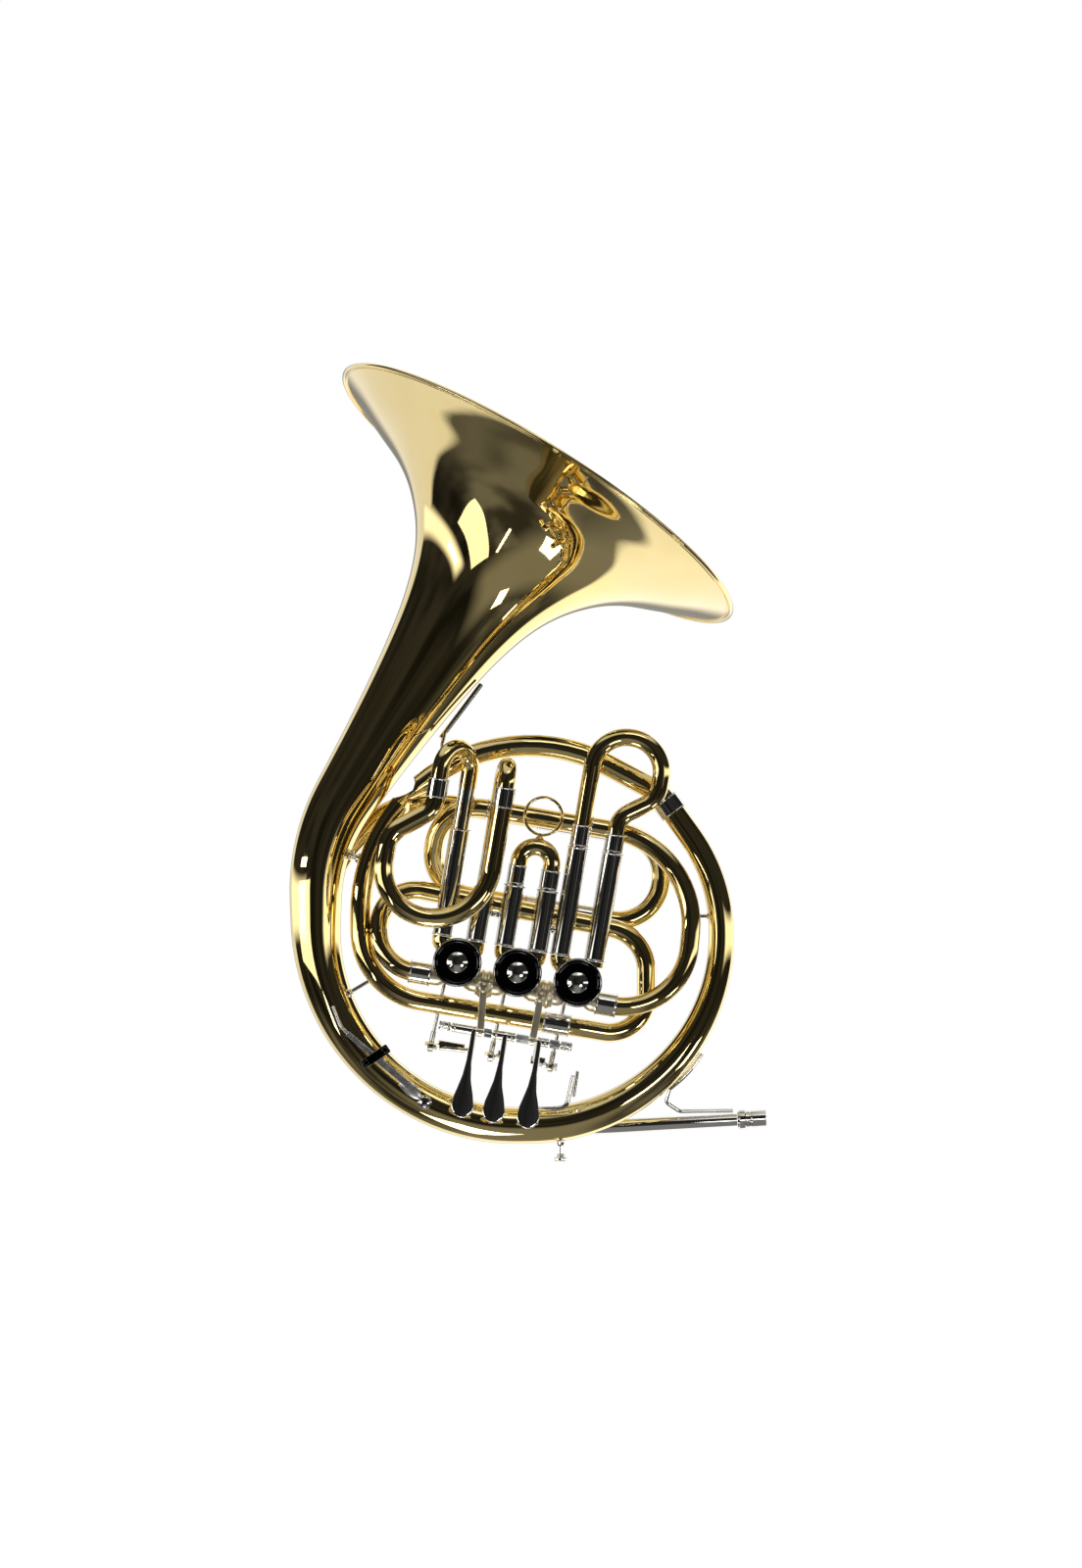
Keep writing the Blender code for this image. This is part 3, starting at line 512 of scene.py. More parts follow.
def rim():
    """The sheet's edge rolled over a wire, with the fine bead inside it."""
    inward = (BELL_CORNER - MOUTH).normalized()
    centre = MOUTH_R - RIM_WIRE_R
    wire = [(centre + RIM_WIRE_R * math.sin(a), RIM_WIRE_R * math.cos(a))
            for a in np.linspace(0, math.tau, 14, endpoint=False)]
    bead = [(centre - 1.9 + 0.5 * math.sin(a), -1.3 + 0.5 * math.cos(a))
            for a in np.linspace(0, math.tau, 8, endpoint=False)]
    direction = -inward
    piece("fine_bell_rim_wire", [turned(MOUTH, direction, wire, 160, True, 0),
                                 turned(MOUTH, direction, bead, 160, True, 0)],
          BRASS, node="bell_rim_wire", place=WORLD, sharp=70)


# ---- ferrules ----------------------------------------------------------------------------------

def ferrule_shape(origin, direction, bore, radius, length, bead):
    """A plain sleeve with a raised bead at each end."""
    profile = [(radius + bead, 0), (radius + bead, 2 * bead), (radius, 2 * bead + 0.3),
               (radius, length - 2 * bead - 0.3), (radius + bead, length - 2 * bead),
               (radius + bead, length), (bore, length), (bore, 0)]
    return turned(origin, direction, profile, 56, True, 0.35)


def ferrule_along(name, points, start, end, bore, radius, **options):
    """A ferrule on a straight stretch of a route, between two distances along it."""
    first, last = resampled(points, [start, end])
    run = last - first
    piece(name, ferrule_shape(first, run, bore, radius, run.length, 0.3), NICKEL, **options)


def main_sleeve(name, points, **options):
    """The nickel sleeve at a tube's end, which takes a leg of the main slide."""
    length = distances(points)[-1]
    end = part_of(points, length - MAIN_SLEEVE - 2, length)
    piece(f"fine_main_sleeve_{name}",
          ferrule_shape(end[0], end[-1] - end[0], BORE_R + 0.1, 6.7, MAIN_SLEEVE + 2, 0.4), NICKEL, **options)


def ferrules():
    start = BODY_END - BODY_END_RUN * 5
    piece("fine_ferrule_body_branch", ferrule_shape(start, (-0.59, 0, 0.806), 8.1, 8.9, 11, 0.3),
          NICKEL, node="ferrule_body_branch", place=WORLD)
    piece("fine_ferrule_second_branch",
          ferrule_shape((22.5, LOWER_Y, LOWER_V), (1, 0, 0), 6.6, 7.1, 17.6, 0.3),
          NICKEL, node="ferrule_second_branch")
    for name, u, length in (("ferrule_valve3", -69, 14.2), ("ferrule_valve1", 54.2, 13.6)):
        piece(f"fine_{name}", ferrule_shape((u, VALVE_Y, PORT_V), (1, 0, 0), 6.7, 7.3, length, 0.4),
              NICKEL, node=name)


# ---- tubes -------------------------------------------------------------------------------------

def second_branch():
    start = BODY_END + BODY_END_RUN * 0.3
    corners = [(*start,), (107.1, 0, 217.6, 38), (1.6, -2, 273.1, 110), (-88, -4, 183.6, 110),
               (*(CLUSTER @ Vector((-98.3, LOWER_Y, LOWER_V))), 47),
               (*(CLUSTER @ Vector((31.2, LOWER_Y, LOWER_V))),)]
    radius = linear(((0, 7.4), (180, 7.0), (420, BORE_R)))
    piece("fine_second_branch", tube(route(corners), radius), BRASS, node="second_branch", place=WORLD)


def valve3_branch():
    corners = [(31.7, LOWER_Y, LOWER_V), (44, LOWER_Y, LOWER_V, 60), (90.9, -6, LOWER_V, 24),
               (79.6, MIDDLE_Y, 37.6, 28), (-93.6, MIDDLE_Y, 42.6, 24), (-93.4, VALVE_Y, PORT_V, 27),
               (-56.3, VALVE_Y, PORT_V)]
    piece("fine_valve3_branch", tube(route(corners), BORE_R), BRASS, node="valve3_branch")


def valve1_branch():
    corners = [(60.3, VALVE_Y, PORT_V), (111.5, VALVE_Y, PORT_V, 43), (103.5, MIDDLE_Y, UPPER_V, 62),
               (-67, MIDDLE_Y, UPPER_V, 28.4), (-67, REAR_Y, MIDDLE_V, 28.4), (43.4, REAR_Y, MIDDLE_V)]
    points = route(corners)
    length = distances(points)[-1]
    piece("fine_valve1_branch", tube(part_of(points, 0, length - MAIN_SLEEVE), BORE_R), BRASS,
          node="valve1_branch")
    main_sleeve("lower", points)
    for u in (24.0, -37.0):
        piece(f"fine_upper_band_{u:.0f}".replace("-", "m"),
              ferrule_shape((u, MIDDLE_Y, UPPER_V), (1, 0, 0), BORE_R + 0.05, 6.6, 9, 0.35), NICKEL)


def main_slide():
    corners = [(12, REAR_Y, MIDDLE_V), (83.3, REAR_Y, MIDDLE_V, 27.5), (83.3, REAR_Y, MAIN_SLIDE_V, 27.5),
               (12, REAR_Y, MAIN_SLIDE_V)]
    points = route(corners)
    length = distances(points)[-1]
    leg = 31.8
    piece("fine_main_tuning_slide", tube(part_of(points, leg + 1, length - leg - 1), BORE_R, 0.6), BRASS,
          body="main_slide", node="main_tuning_slide")
    for name, start, end in (("lower", 0, leg + 1.5), ("upper", length - leg - 1.5, length)):
        piece(f"fine_main_slide_leg_{name}", tube(part_of(points, start, end), 5.3, 0.5), NICKEL,
              body="main_slide")


def leadpipe():
    upper = CLUSTER @ Vector((43.4, REAR_Y, MAIN_SLIDE_V))
    turn_in = CLUSTER @ Vector((-72, REAR_Y, MAIN_SLIDE_V))
    corners = [(158.4, 18, 3.1), (76, 19, -1.2, 300), (14, 21, -3, 180), (-62, 26, 14, 110),
               (-112, 34, 84, 110), (-108, 36.5, 168, 60), (-71, 27.5, 207, 34), (*turn_in, 60),
               (*upper,)]
    points = route(corners)
    length = distances(points)[-1]
    silver = 120
    radius = linear(((0, 4.2), (110, 4.8), (400, BORE_R)))
    piece("fine_leadpipe_nickel", tube(part_of(points, 0, silver), radius, 0.7), NICKEL, place=WORLD,
          node="leadpipe")
    piece("fine_leadpipe_brass",
          tube(part_of(points, silver, length - MAIN_SLEEVE), lambda mark: radius(mark + silver), 0.7),
          BRASS, place=WORLD)
    joint = part_of(points, silver - 5, silver + 5)
    piece("fine_leadpipe_joint", ferrule_shape(joint[0], joint[-1] - joint[0], 4.85, 5.5, 10, 0.3),
          NICKEL, place=WORLD)
    main_sleeve("upper", points, place=WORLD)


def receiver():
    """The mouthpiece socket: a stepped collar with a rounded band near its mouth."""
    profile = [(5.5, 18.6), (5.5, 9.4), (5.2, 9.0), (5.2, 8.2), (5.5, 7.8), (5.5, 5.4), (6.4, 4.9),
               (6.4, 1.4), (5.6, 0.9), (5.4, 0), (3.7, 0), (4.3, 18.6)]
    piece("fine_mouthpiece_receiver", turned((158.7, 18, 3.15), (1, -0.012, 0.06), profile, 56, True, 0.25),
          NICKEL, node="mouthpiece_receiver", place=WORLD)


# ---- valves ------------------------------------------------------------------------------------

CASING_R = 14.0
CASING_DEPTH = 26.0
CASING_BORE = 12.1
PORT_R = 6.4
PORT_START = 8.65
PORT_OFFSET = 11.1
PORT_REACH = {3: (16.9, 19.7), 2: (19.7, 19.7), 1: (19.7, 15.0)}
CAP_R = 15.9
CAP_DEPTH = 3.7
STOP_R = 6.5
STOP_REST = math.radians(225)
EYE_U = -5.6
CASING_FRONT = VALVE_Y - CASING_DEPTH / 2
CASING_BACK = VALVE_Y + CASING_DEPTH / 2


def casing(number):
    """The valve's barrel, turned with a band at each end."""
    u = VALVE_U[number]
    profile = [(CASING_R, 0), (CASING_R, 3.2), (CASING_R - 0.5, 3.7), (CASING_R - 0.5, 4.6),
               (CASING_R - 0.1, 5.1), (CASING_R - 0.1, 20.9), (CASING_R - 0.5, 21.4),
               (CASING_R - 0.5, 22.3), (CASING_R, 22.8), (CASING_R, CASING_DEPTH),
               (CASING_BORE, CASING_DEPTH), (CASING_BORE, 0)]
    barrel = turned((u, CASING_FRONT, 0), (0, 1, 0), profile, 64, True, 0.2)
    piece(f"fine_valve_casing_{number}", barrel, NICKEL, node=f"valve_casing_{number}")


def knuckles(number):
    """Four bent ports: two rise to the slide's sleeves and two run along the row."""
    u = VALVE_U[number]
    for i, side in enumerate((-1, 1)):
        sleeve_u = SLIDE_U[number][i]
        # it leaves the casing's wall on the diagonal, or straight up where the sleeve is close
        rise = [(u + side * PORT_START, VALVE_Y, PORT_START), (u + side * 9.0, VALVE_Y, 9.0, 0.4),
                (sleeve_u, VALVE_Y, 10.6, 5)]
        if abs(sleeve_u - u) < 9.5:
            rise = [(sleeve_u, VALVE_Y, 11.7)]
        rise = route([*rise, (sleeve_u, VALVE_Y, KNUCKLE_TOP)], math.radians(8))
        piece(f"fine_knuckle_{number}_up_{i + 1}", tube(rise, PORT_R, 1.2), BRASS)
        reach = PORT_REACH[number][i]
        along = route([(u + side * PORT_START, VALVE_Y, -PORT_START),
                       (u + side * PORT_OFFSET, VALVE_Y, PORT_V, 3),
                       (u + side * (reach - 0.15), VALVE_Y, PORT_V)], math.radians(8))
        piece(f"fine_knuckle_{number}_row_{i + 1}", tube(along, PORT_R, 1.2), PALE_GILT)


def cap(number):
    """A screwed cap: raised lip, shallow black field, and a bright domed centre."""
    u = VALVE_U[number]
    front = CASING_FRONT - 0.3
    profile = [(0, CAP_DEPTH - 0.5), (12.9, CAP_DEPTH - 0.5), (13.5, CAP_DEPTH - 0.05),
               (14.9, CAP_DEPTH), (CAP_R - 0.5, CAP_DEPTH - 0.35), (CAP_R, CAP_DEPTH - 1.0),
               (CAP_R, 1.1), (CAP_R - 0.35, 0.8), (CAP_R - 0.35, 0.5), (CAP_R, 0.3), (CAP_R, 0), (0, 0)]
    piece(f"fine_valve_cap_{number}", turned((u, front, 0), (0, -1, 0), profile, 88, size=0.3), BLACK,
          node=f"valve_cap_{number}")
    ring = [(15.05 + 0.32 * math.sin(a), CAP_DEPTH - 0.28 + 0.32 * math.cos(a))
            for a in np.linspace(0, math.tau, 12, endpoint=False)]
    piece(f"fine_cap_ring_{number}", turned((u, front, 0), (0, -1, 0), ring, 96, True, 0), NICKEL, sharp=70)
    dome = [(6.1 * math.sin(a) / math.sin(0.52), 4.2 + 12.2 * (math.cos(a) - math.cos(0.52)))
            for a in np.linspace(0.02, 0.52, 10)]
    dome = [(0, dome[0][1]), *dome, (6.7, 3.9), (6.8, 3.4), (6.8, 2.9), (0, 2.9)]
    piece(f"fine_cap_dome_{number}", turned((u, front, 0), (0, -1, 0), dome, 64, size=0.12), NICKEL)


def bearing_plate(number):
    u = VALVE_U[number]
    profile = [(13.7, 1.9), (12.6, 3.0), (7.4, 3.0), (6.9, 2.5), (6.2, 2.5), (5.7, 3.0), (3.2, 3.0),
               (3.2, 0), (13.7, 0)]
    piece(f"fine_bearing_plate_{number}",
          turned((u, CASING_BACK + 0.3, 0), (0, 1, 0), profile, 64, True, 0.25), NICKEL,
          node=f"bearing_plate_{number}")


def stop_arm(number):
    """The arm on the rotor's end, its pin, and the screw head that keeps the rod on."""
    u = VALVE_U[number]
    pin_u = u + STOP_R * math.cos(STOP_REST)
    pin_v = STOP_R * math.sin(STOP_REST)
    back = (0, 1, 0)
    arm = block(((u + pin_u) / 2, -1.2, pin_v / 2), (STOP_R, 2.2, 3.4),
                Matrix.Rotation(math.pi - STOP_REST, 4, "Y"), 0.4)
    hub = turned((u, -2.9, 0), back, [(0, 3.6), (2.6, 3.6), (3.8, 2.9), (3.8, 0), (0, 0)], 32)
    pad = turned((pin_u, -2.3, pin_v), back, [(0, 2.2), (2.2, 2.2), (2.2, 0), (0, 0)], 28)
    pin = turned((pin_u, -1.5, pin_v), back, [(0, 7.2), (1.1, 7.2), (1.1, 0), (0, 0)], 20)
    head = turned((pin_u, 5.0, pin_v), back,
                  [(0, 0.9), (0.5, 0.9), (0.7, 1.4), (2.9, 1.4), (3.3, 1.0), (3.3, 0), (0, 0)], 32)
    piece(f"fine_stop_arm_{number}", [hub, arm, pad, pin, head], NICKEL, body=f"rotor_{number}_body",
          node=f"stop_arm_{number}")


def push_rod(number):
    """The rod from the lever's ball to the stop arm, threaded into its two eyes."""
    ball_u = BALL_U[number]
    eye_u = VALVE_U[number] + EYE_U
    eye_v = STOP_R * math.sin(STOP_REST)
    low = Vector((ball_u, BALL.y, BALL.z + 3))
    high = Vector((eye_u, BALL.y, eye_v - 3))
    run = (high - low).normalized()
    shank = bar([low, high], 1.15, 20)
    sockets = [bar([low, low + run * 7], 1.75, 20), bar([high - run * 7, high], 1.75, 20)]
    upper = turned((eye_u, BALL.y - 1.4, eye_v), (0, 1, 0),
                   [(4.2, 0), (4.2, 2.9), (2.5, 2.9), (2.5, 0)], 36, True)
    lower = turned((ball_u - 1.8, BALL.y, BALL.z), (1, 0, 0),
                   [(3.9, 0), (3.9, 3.6), (2.1, 3.6), (2.1, 0)], 36, True, 0.7)
    piece(f"fine_push_rod_{number}", [shank, *sockets, upper, lower], NICKEL,
          body=f"push_rod_{number}_body", node=f"push_rod_{number}")


def rotor(number):
    """The rotor stays as the frame has it, inside its casing, with the finish of bare brass."""
    obj = frame["nodes"][f"rotor_{number}"]
    obj.data.materials.clear()
    obj.data.materials.append(BRASS.material)


# ---- levers ------------------------------------------------------------------------------------

BARREL_R = 3.0
BARREL_SPAN = {3: (-35.6, -19.5), 2: (-8.4, 6.0), 1: (20.8, 28.0)}
SPRING_SPAN = {3: (-14.8, -8.9), 2: (6.5, 15.8), 1: (28.5, 36.0)}
BLADE_SPAN = {3: (-42.6, -25.2), 2: (-3.4, -0.6), 1: (18.6, 28.1)}
BLADE_V = -55.4
STRAP_TOP_U = {"left": -19.6, "right": 18.2}
STRAP_FOOT_U = {"left": -16.7, "right": 17.6}
PADDLE_LENGTH = 57.5
PADDLE_R = 7.4
PADDLE_BACK = 10.0
PADDLE_WIDEST = 50
# Half widths to the left and right at distances down from the barrel
PADDLE_LEFT = ((0, 1.6), (10, 1.6), (20, 2.0), (30, 3.2), (38, 5.2), (44, 6.8), (50, PADDLE_R))
PADDLE_RIGHT = ((0, 1.6), (22, 1.8), (33, 3.0), (41, 5.4), (50, PADDLE_R))


def paddle(stem_u):
    """The touch piece: a stem that swells into a rounded teardrop, crowned across its face."""
    left, right = linear(PADDLE_LEFT), linear(PADDLE_RIGHT)
    downs = list(np.linspace(0, PADDLE_WIDEST, 26))
    downs += [PADDLE_WIDEST + PADDLE_R * math.sin(math.radians(a)) for a in (15, 30, 45, 60, 72, 82, 88)]
    rings = []
    for down in downs:
        low, high = left(down), right(down)
        if down > PADDLE_WIDEST:
            low = high = math.sqrt(max(PADDLE_R ** 2 - (down - PADDLE_WIDEST) ** 2, 0.04))
        half = (low + high) / 2
        middle = (high - low) / 2
        thick = 0.9 if down > 30 else 0.9 + 0.5 * (1 - down / 30)
        bend = 0.5 * (down / PADDLE_LENGTH) ** 2
        ring = []
        for angle in np.linspace(0, math.tau, 28, endpoint=False):
            c, s = math.cos(angle), math.sin(angle)
            x = half * math.copysign(abs(c) ** 0.42, c)
            y = thick * math.copysign(abs(s) ** 0.5, s)
            crown = 0.45 * (1 - (x / max(half, 0.1)) ** 2) * min(1, half / 4)
            ring.append((middle + x, y - crown + bend, -down))
        rings.append(ring)
    lean = Matrix.Rotation(math.atan2(PADDLE_BACK, PADDLE_LENGTH), 4, "X")
    sideways = Matrix.Rotation(math.radians(-1), 4, "Y")
    place = Matrix.Translation(Vector((stem_u, AXLE.y - BARREL_R + 0.4, AXLE.z)))
    return moved(grid(rings), place @ sideways @ lean.inverted())


def lever(number):
    """Barrel with ringed ends, S-shaped arm, ball stud and nut, and the touch piece."""
    stem = STEM_U[number]
    start, end = BARREL_SPAN[number]
    side = 1 if stem > BALL_U[number] else -1
    length = end - start
    profile = [(BARREL_R, 0), (BARREL_R, 1.4), (BARREL_R - 0.35, 1.7), (BARREL_R - 0.35, 2.1),
               (BARREL_R - 0.1, 2.4), (BARREL_R - 0.1, length - 2.4), (BARREL_R - 0.35, length - 2.1),
               (BARREL_R - 0.35, length - 1.7), (BARREL_R, length - 1.4), (BARREL_R, length),
               (1.95, length), (1.95, 0)]
    barrel = turned((start, AXLE.y, AXLE.z), (1, 0, 0), profile, 40, True, 0.15)
    arm_v = BALL.z + 1.5
    arm_u = stem + (0.4 if side > 0 else -1.0)
    elbow_u = BALL_U[number] + side * 4.4
    arm = bar(route([(arm_u, AXLE.y + 2.4, AXLE.z - 0.4), (arm_u, BALL.y - 1, arm_v, 3),
                     (elbow_u, BALL.y, BALL.z)]), 1.6, 24)
    low, high = BLADE_SPAN[number]
    blade = block(((low + high) / 2, BALL.y - 0.2, BLADE_V), (high - low, 2.6, 5.6), None, 0.6, 4)
    piece(f"fine_lever_{number}", [barrel, arm, blade, paddle(stem)], NICKEL, body=f"lever_{number}_body",
          node=f"lever_{number}", sharp=40)
    near = (elbow_u + side * 1.2, BALL.y, BALL.z)
    stud = turned(near, (-side, 0, 0), [(0, 9.4), (1.5, 9.4), (1.5, 0), (0, 0)], 24)
    shoulder = turned(near, (-side, 0, 0), [(0, 2.6), (2.4, 2.6), (2.4, 0), (0, 0)], 6, size=0.2)
    nut = turned((BALL_U[number] - side * 2.2, BALL.y, BALL.z), (-side, 0, 0),
                 [(0, 1.8), (2.8, 1.8), (2.8, 0), (0, 0)], 6, size=0.2)
    piece(f"fine_ball_stud_{number}", [stud, shoulder, nut, ball((BALL_U[number], BALL.y, BALL.z), 1.95)],
          STEEL, body=f"lever_{number}_body")


def axle():
    rod = bar([Vector((-42, AXLE.y, AXLE.z)), Vector((42, AXLE.y, AXLE.z))], 1.4)
    heads = [knurled((-44, AXLE.y, AXLE.z), (1, 0, 0), 2.9, 7.6),
             knurled((36.4, AXLE.y, AXLE.z), (1, 0, 0), 2.9, 7.2)]
    piece("fine_lever_axle", [rod, *heads], NICKEL, node="lever_axle")


def spring(number):
    """A torsion spring of round wire, coiled round the axle."""
    start, end = SPRING_SPAN[number]
    turns = 7
    points = []
    for angle in np.linspace(0, math.tau * turns, turns * 20 + 1):
        share = angle / (math.tau * turns)
        points.append(Vector((start + 0.6 + (end - start - 1.2) * share,
                              AXLE.y + 2.5 * math.cos(angle), AXLE.z + 2.5 * math.sin(angle))))
    piece(f"fine_lever_spring_{number}", bar(points, 0.42, 10), STEEL, node=f"lever_spring_{number}")


def lever_bracket(side, boss_u):
    """A waisted boss around the tube between two valves, and the strap down to the axle."""
    top_u = STRAP_TOP_U[side]
    eye_u = STRAP_FOOT_U[side]
    profile = [(6.9, 0), (7.7, 0), (7.9, 1.0), (8.7, 2.4), (9.2, 3.1), (9.2, 4.1), (8.2, 4.9), (8.2, 6.1),
               (9.2, 6.9), (9.2, 7.9), (8.7, 8.6), (7.9, 10.0), (7.7, 11), (6.9, 11)]
    boss = turned((boss_u - 5.5, VALVE_Y, PORT_V), (1, 0, 0), profile, 48, True, 0.3)
    lean = Matrix.Rotation(math.atan2(top_u - eye_u, PORT_V - AXLE.z), 4, "Y")
    middle = ((top_u + eye_u) / 2, -29.2, (PORT_V + AXLE.z) / 2 - 0.6)
    strap = block(middle, (4.6, 1.4, 26.6), lean, 0.3)
    pad = turned((top_u, -30.4, PORT_V - 2.6), (0, -1, 0),
                 [(0, 0.9), (1.8, 0.8), (2.9, 0.3), (3.4, -2.0), (0, -2.0)], 32)
    bridge = block((top_u, -28.0, PORT_V - 1.5), (5.6, 3.8, 5.0), None, 0.6)
    foot = turned((eye_u - 1.4, AXLE.y, AXLE.z), (1, 0, 0), [(3.3, 0), (3.3, 2.8), (1.9, 2.8), (1.9, 0)],
                  36, True)
    piece(f"fine_lever_bracket_{side}", [boss, bridge, strap, pad, foot], PALE_GILT,
          node=f"lever_bracket_{side}")


# ---- valve slides ------------------------------------------------------------------------------

def sleeves():
    for number, names in ((1, ("left", "right")), (2, ("left", "right")), (3, ("front", "rear"))):
        for name, u, top in zip(names, SLIDE_U[number], SLEEVE_TOP[number]):
            low = KNUCKLE_TOP + 0.3
            shape = ferrule_shape((u, VALVE_Y, low), (0, 0, 1), SLEEVE_R - 0.6, SLEEVE_R - 0.25, top - low,
                                  0.45)
            piece(f"fine_slide{number}_sleeve_{name}", shape, NICKEL, node=f"slide{number}_sleeve_{name}")


def slide_bow(name, node, body, corners, low_leg, high_leg, bands):
    """A crook whose two legs are nickel and whose bow is brass, with a ferrule where they meet."""
    points = route(corners)
    length = distances(points)[-1]
    piece(f"fine_{name}", tube(part_of(points, low_leg, length - high_leg), LEG_R, 0.6), BRASS, body=body,
          node=node)
    piece(f"fine_{name}_leg_1", tube(part_of(points, 0, low_leg + 1), LEG_R - 0.1, 0.5), NICKEL, body=body)
    piece(f"fine_{name}_leg_2", tube(part_of(points, length - high_leg - 1, length), LEG_R - 0.1, 0.5),
          NICKEL, body=body)
    for i, (start, end) in enumerate(bands):
        if i == 1:
            start, end = length - end, length - start
        ferrule_along(f"fine_{name}_ferrule_{i + 1}", points, start, end, LEG_R - 0.05, LEG_R + 0.55,
                      body=body)


def slide_1():
    left, right = SLIDE_U[1]
    corners = [(left, VALVE_Y, 20), (left, VALVE_Y, 163, 22.4), (71.7, VALVE_Y, 163, 22.4),
               (71.7, VALVE_Y, 126.4, 15), (right, VALVE_Y, 110.4, 15), (right, VALVE_Y, 20)]
    slide_bow("slide1_crook", "slide1_crook", "slide_1", corners, 80, 80, ((67.5, 81.5), (67.5, 79)))


def slide_2():
    left, right = SLIDE_U[2]
    bend = (right - left) / 2 - 0.05
    corners = [(left, VALVE_Y, 20), (left, VALVE_Y, 82.5, bend), (right, VALVE_Y, 82.5, bend),
               (right, VALVE_Y, 20)]
    slide_bow("slide2_crook", "slide2_crook", "slide_2", corners, 47, 47, ((36.5, 49), (36.5, 49)))
    centre = (0.3, VALVE_Y, 103.0)
    wire = [(12.3 + math.sin(a), math.cos(a)) for a in np.linspace(0, math.tau, 14, endpoint=False)]
    ring = turned(centre, (0, -1, 0), wire, 96, True, 0)
    foot = turned((0.3, VALVE_Y, 82.5 + LEG_R - 0.6), (0, 0, 1),
                  [(0, 3.9), (1.1, 3.9), (1.5, 2.2), (2.7, 0.9), (3.0, 0), (0, 0)], 28)
    piece("fine_slide2_pull_ring", [ring, foot], BRASS, body="slide_2", node="slide2_pull_ring", sharp=50)


def slide_3():
    front, rear = SLIDE_U[3]
    left_u, right_u = -70.5, -26.9
    bend = math.hypot(left_u - front, FRONT_Y - VALVE_Y) / 2 - 0.05
    corners = [(front, VALVE_Y, 20), (front, VALVE_Y, 137.3, bend), (left_u, FRONT_Y, 137.3, bend),
               (left_u, FRONT_Y, 104.5)]
    slide_bow("slide3_left_crook", "slide3_left_crook", "slide_3_left", corners, 93, 12, ())
    bend = math.hypot(right_u - rear, FRONT_Y - VALVE_Y) / 2 - 0.05
    corners = [(rear, VALVE_Y, 20), (rear, VALVE_Y, 131, bend), (right_u, FRONT_Y, 131, bend),
               (right_u, FRONT_Y, 105)]
    slide_bow("slide3_right_crook", "slide3_right_crook", "slide_3_right", corners, 55, 12.6, ())
    corners = [(left_u, FRONT_Y, 116), (left_u, FRONT_Y, 95.7, 14), (-97, FRONT_Y, 75.1, 18),
               (-97, FRONT_Y, 25.4, 32), (right_u, FRONT_Y, 25.4, 38), (right_u, FRONT_Y, 117.3)]
    points = route(corners)
    length = distances(points)[-1]
    piece("fine_slide3_loop", tube(part_of(points, 12, length - 12.8), 6.3, 0.6), BRASS, node="slide3_loop")
    for name, start, end in (("left", 0, 12.8), ("right", length - 13.6, length)):
        ferrule_along(f"fine_slide3_loop_ferrule_{name}", points, start, end, 6.15, 6.75)


# ---- hand fittings and braces ------------------------------------------------------------------

def pinky_hook():
    corners = [(24, -12.2, 11), (46.6, -13.8, 11.8, 6), (51.1, -15, 33)]
    leaf = block((52.5, -15.4, 27.5), (2.2, 9, 17), Matrix.Rotation(math.radians(9), 4, "Y"), 0.8, 4)
    piece("fine_pinky_hook", [bar(route(corners), 1.5, 24), leaf], NICKEL, node="pinky_hook", place=WORLD)


def thumb_rest():
    """A ribbed flat bar, a dark saddle across it, and a spoon-shaped end with its screw."""
    along = Matrix.Rotation(math.radians(130), 4, "Y")
    across = Matrix.Rotation(math.radians(56), 4, "Y")
    upper = block((-87.0, -19.8, 52.9), (3.4, 1.8, 24), along, 0.3)
    ribs = []
    for side in (-1, 1):
        centre = Vector((-87.0, -21.0, 52.9)) + along @ Vector((side * 1.3, 0, 0))
        ribs.append(block(centre, (0.8, 0.8, 24), along, 0.2))
    lower = block((-66.8, -19.8, 35.6), (4.4, 1.8, 30), along, 0.5)
    spoon = moved(ball((0, 0, 0), 1.0, 32), Matrix.Translation((-55.0, -19.6, 24.0)) @ along
                  @ Matrix.Diagonal((3.9, 1.6, 9.0, 1)))
    stay = bar(route([(-94.5, -19.4, 59), (-100.5, -18.6, 65, 6), (-105.6, -11.5, 78)]), 1.1, 20)
    posts = [bar([Vector((-93, -20, 57.8)), Vector((-93, -14.8, 57.8))], 1.5, 20),
             bar([Vector((-58, -20, 28.3)), Vector((-58, -13.4, 28.3))], 1.5, 20)]
    piece("fine_thumb_rest", [upper, *ribs, lower, spoon, stay, *posts], SATIN, node="thumb_rest",
          place=WORLD)
    middle = Vector((-77.8, -22.6, 45.6))
    knobs = [turned(middle + across @ Vector((0, -0.6, end * 7.4)), (0, -1, 0),
                    [(0, 1.5), (1.6, 1.4), (2.2, 0.8), (2.2, -0.6), (0, -0.6)], 28) for end in (-1, 1)]
    piece("fine_thumb_saddle", [block(middle, (6.0, 2.4, 20.4), across, 1.0, 5), *knobs], BLACK, place=WORLD)
    profile = [(0, 8.2), (1.6, 8.3), (3.2, 7.8), (4.6, 6.4), (4.6, 4.9), (2.0, 4.2), (2.0, 0), (0, 0)]
    piece("fine_thumb_rest_screw", turned((-45.5, -14.6, 15.5), (-0.05, -1, 0.05), profile, 40), NICKEL,
          node="thumb_rest_screw", place=WORLD)


def strap_stud():
    profile = [(0, 0.0), (2.9, 0), (2.2, -1.4), (2.0, -2.4), (2.0, -7.6), (2.6, -8.2), (2.6, -9.0),
               (2.2, -9.4), (3.2, -9.9), (4.4, -10.5), (4.4, -12.0), (3.9, -12.4), (0, -12.4)]
    piece("fine_strap_stud", turned((42.9, 0, -10.9), (0, 0, 1), profile, 40), NICKEL, node="strap_stud",
          place=WORLD)


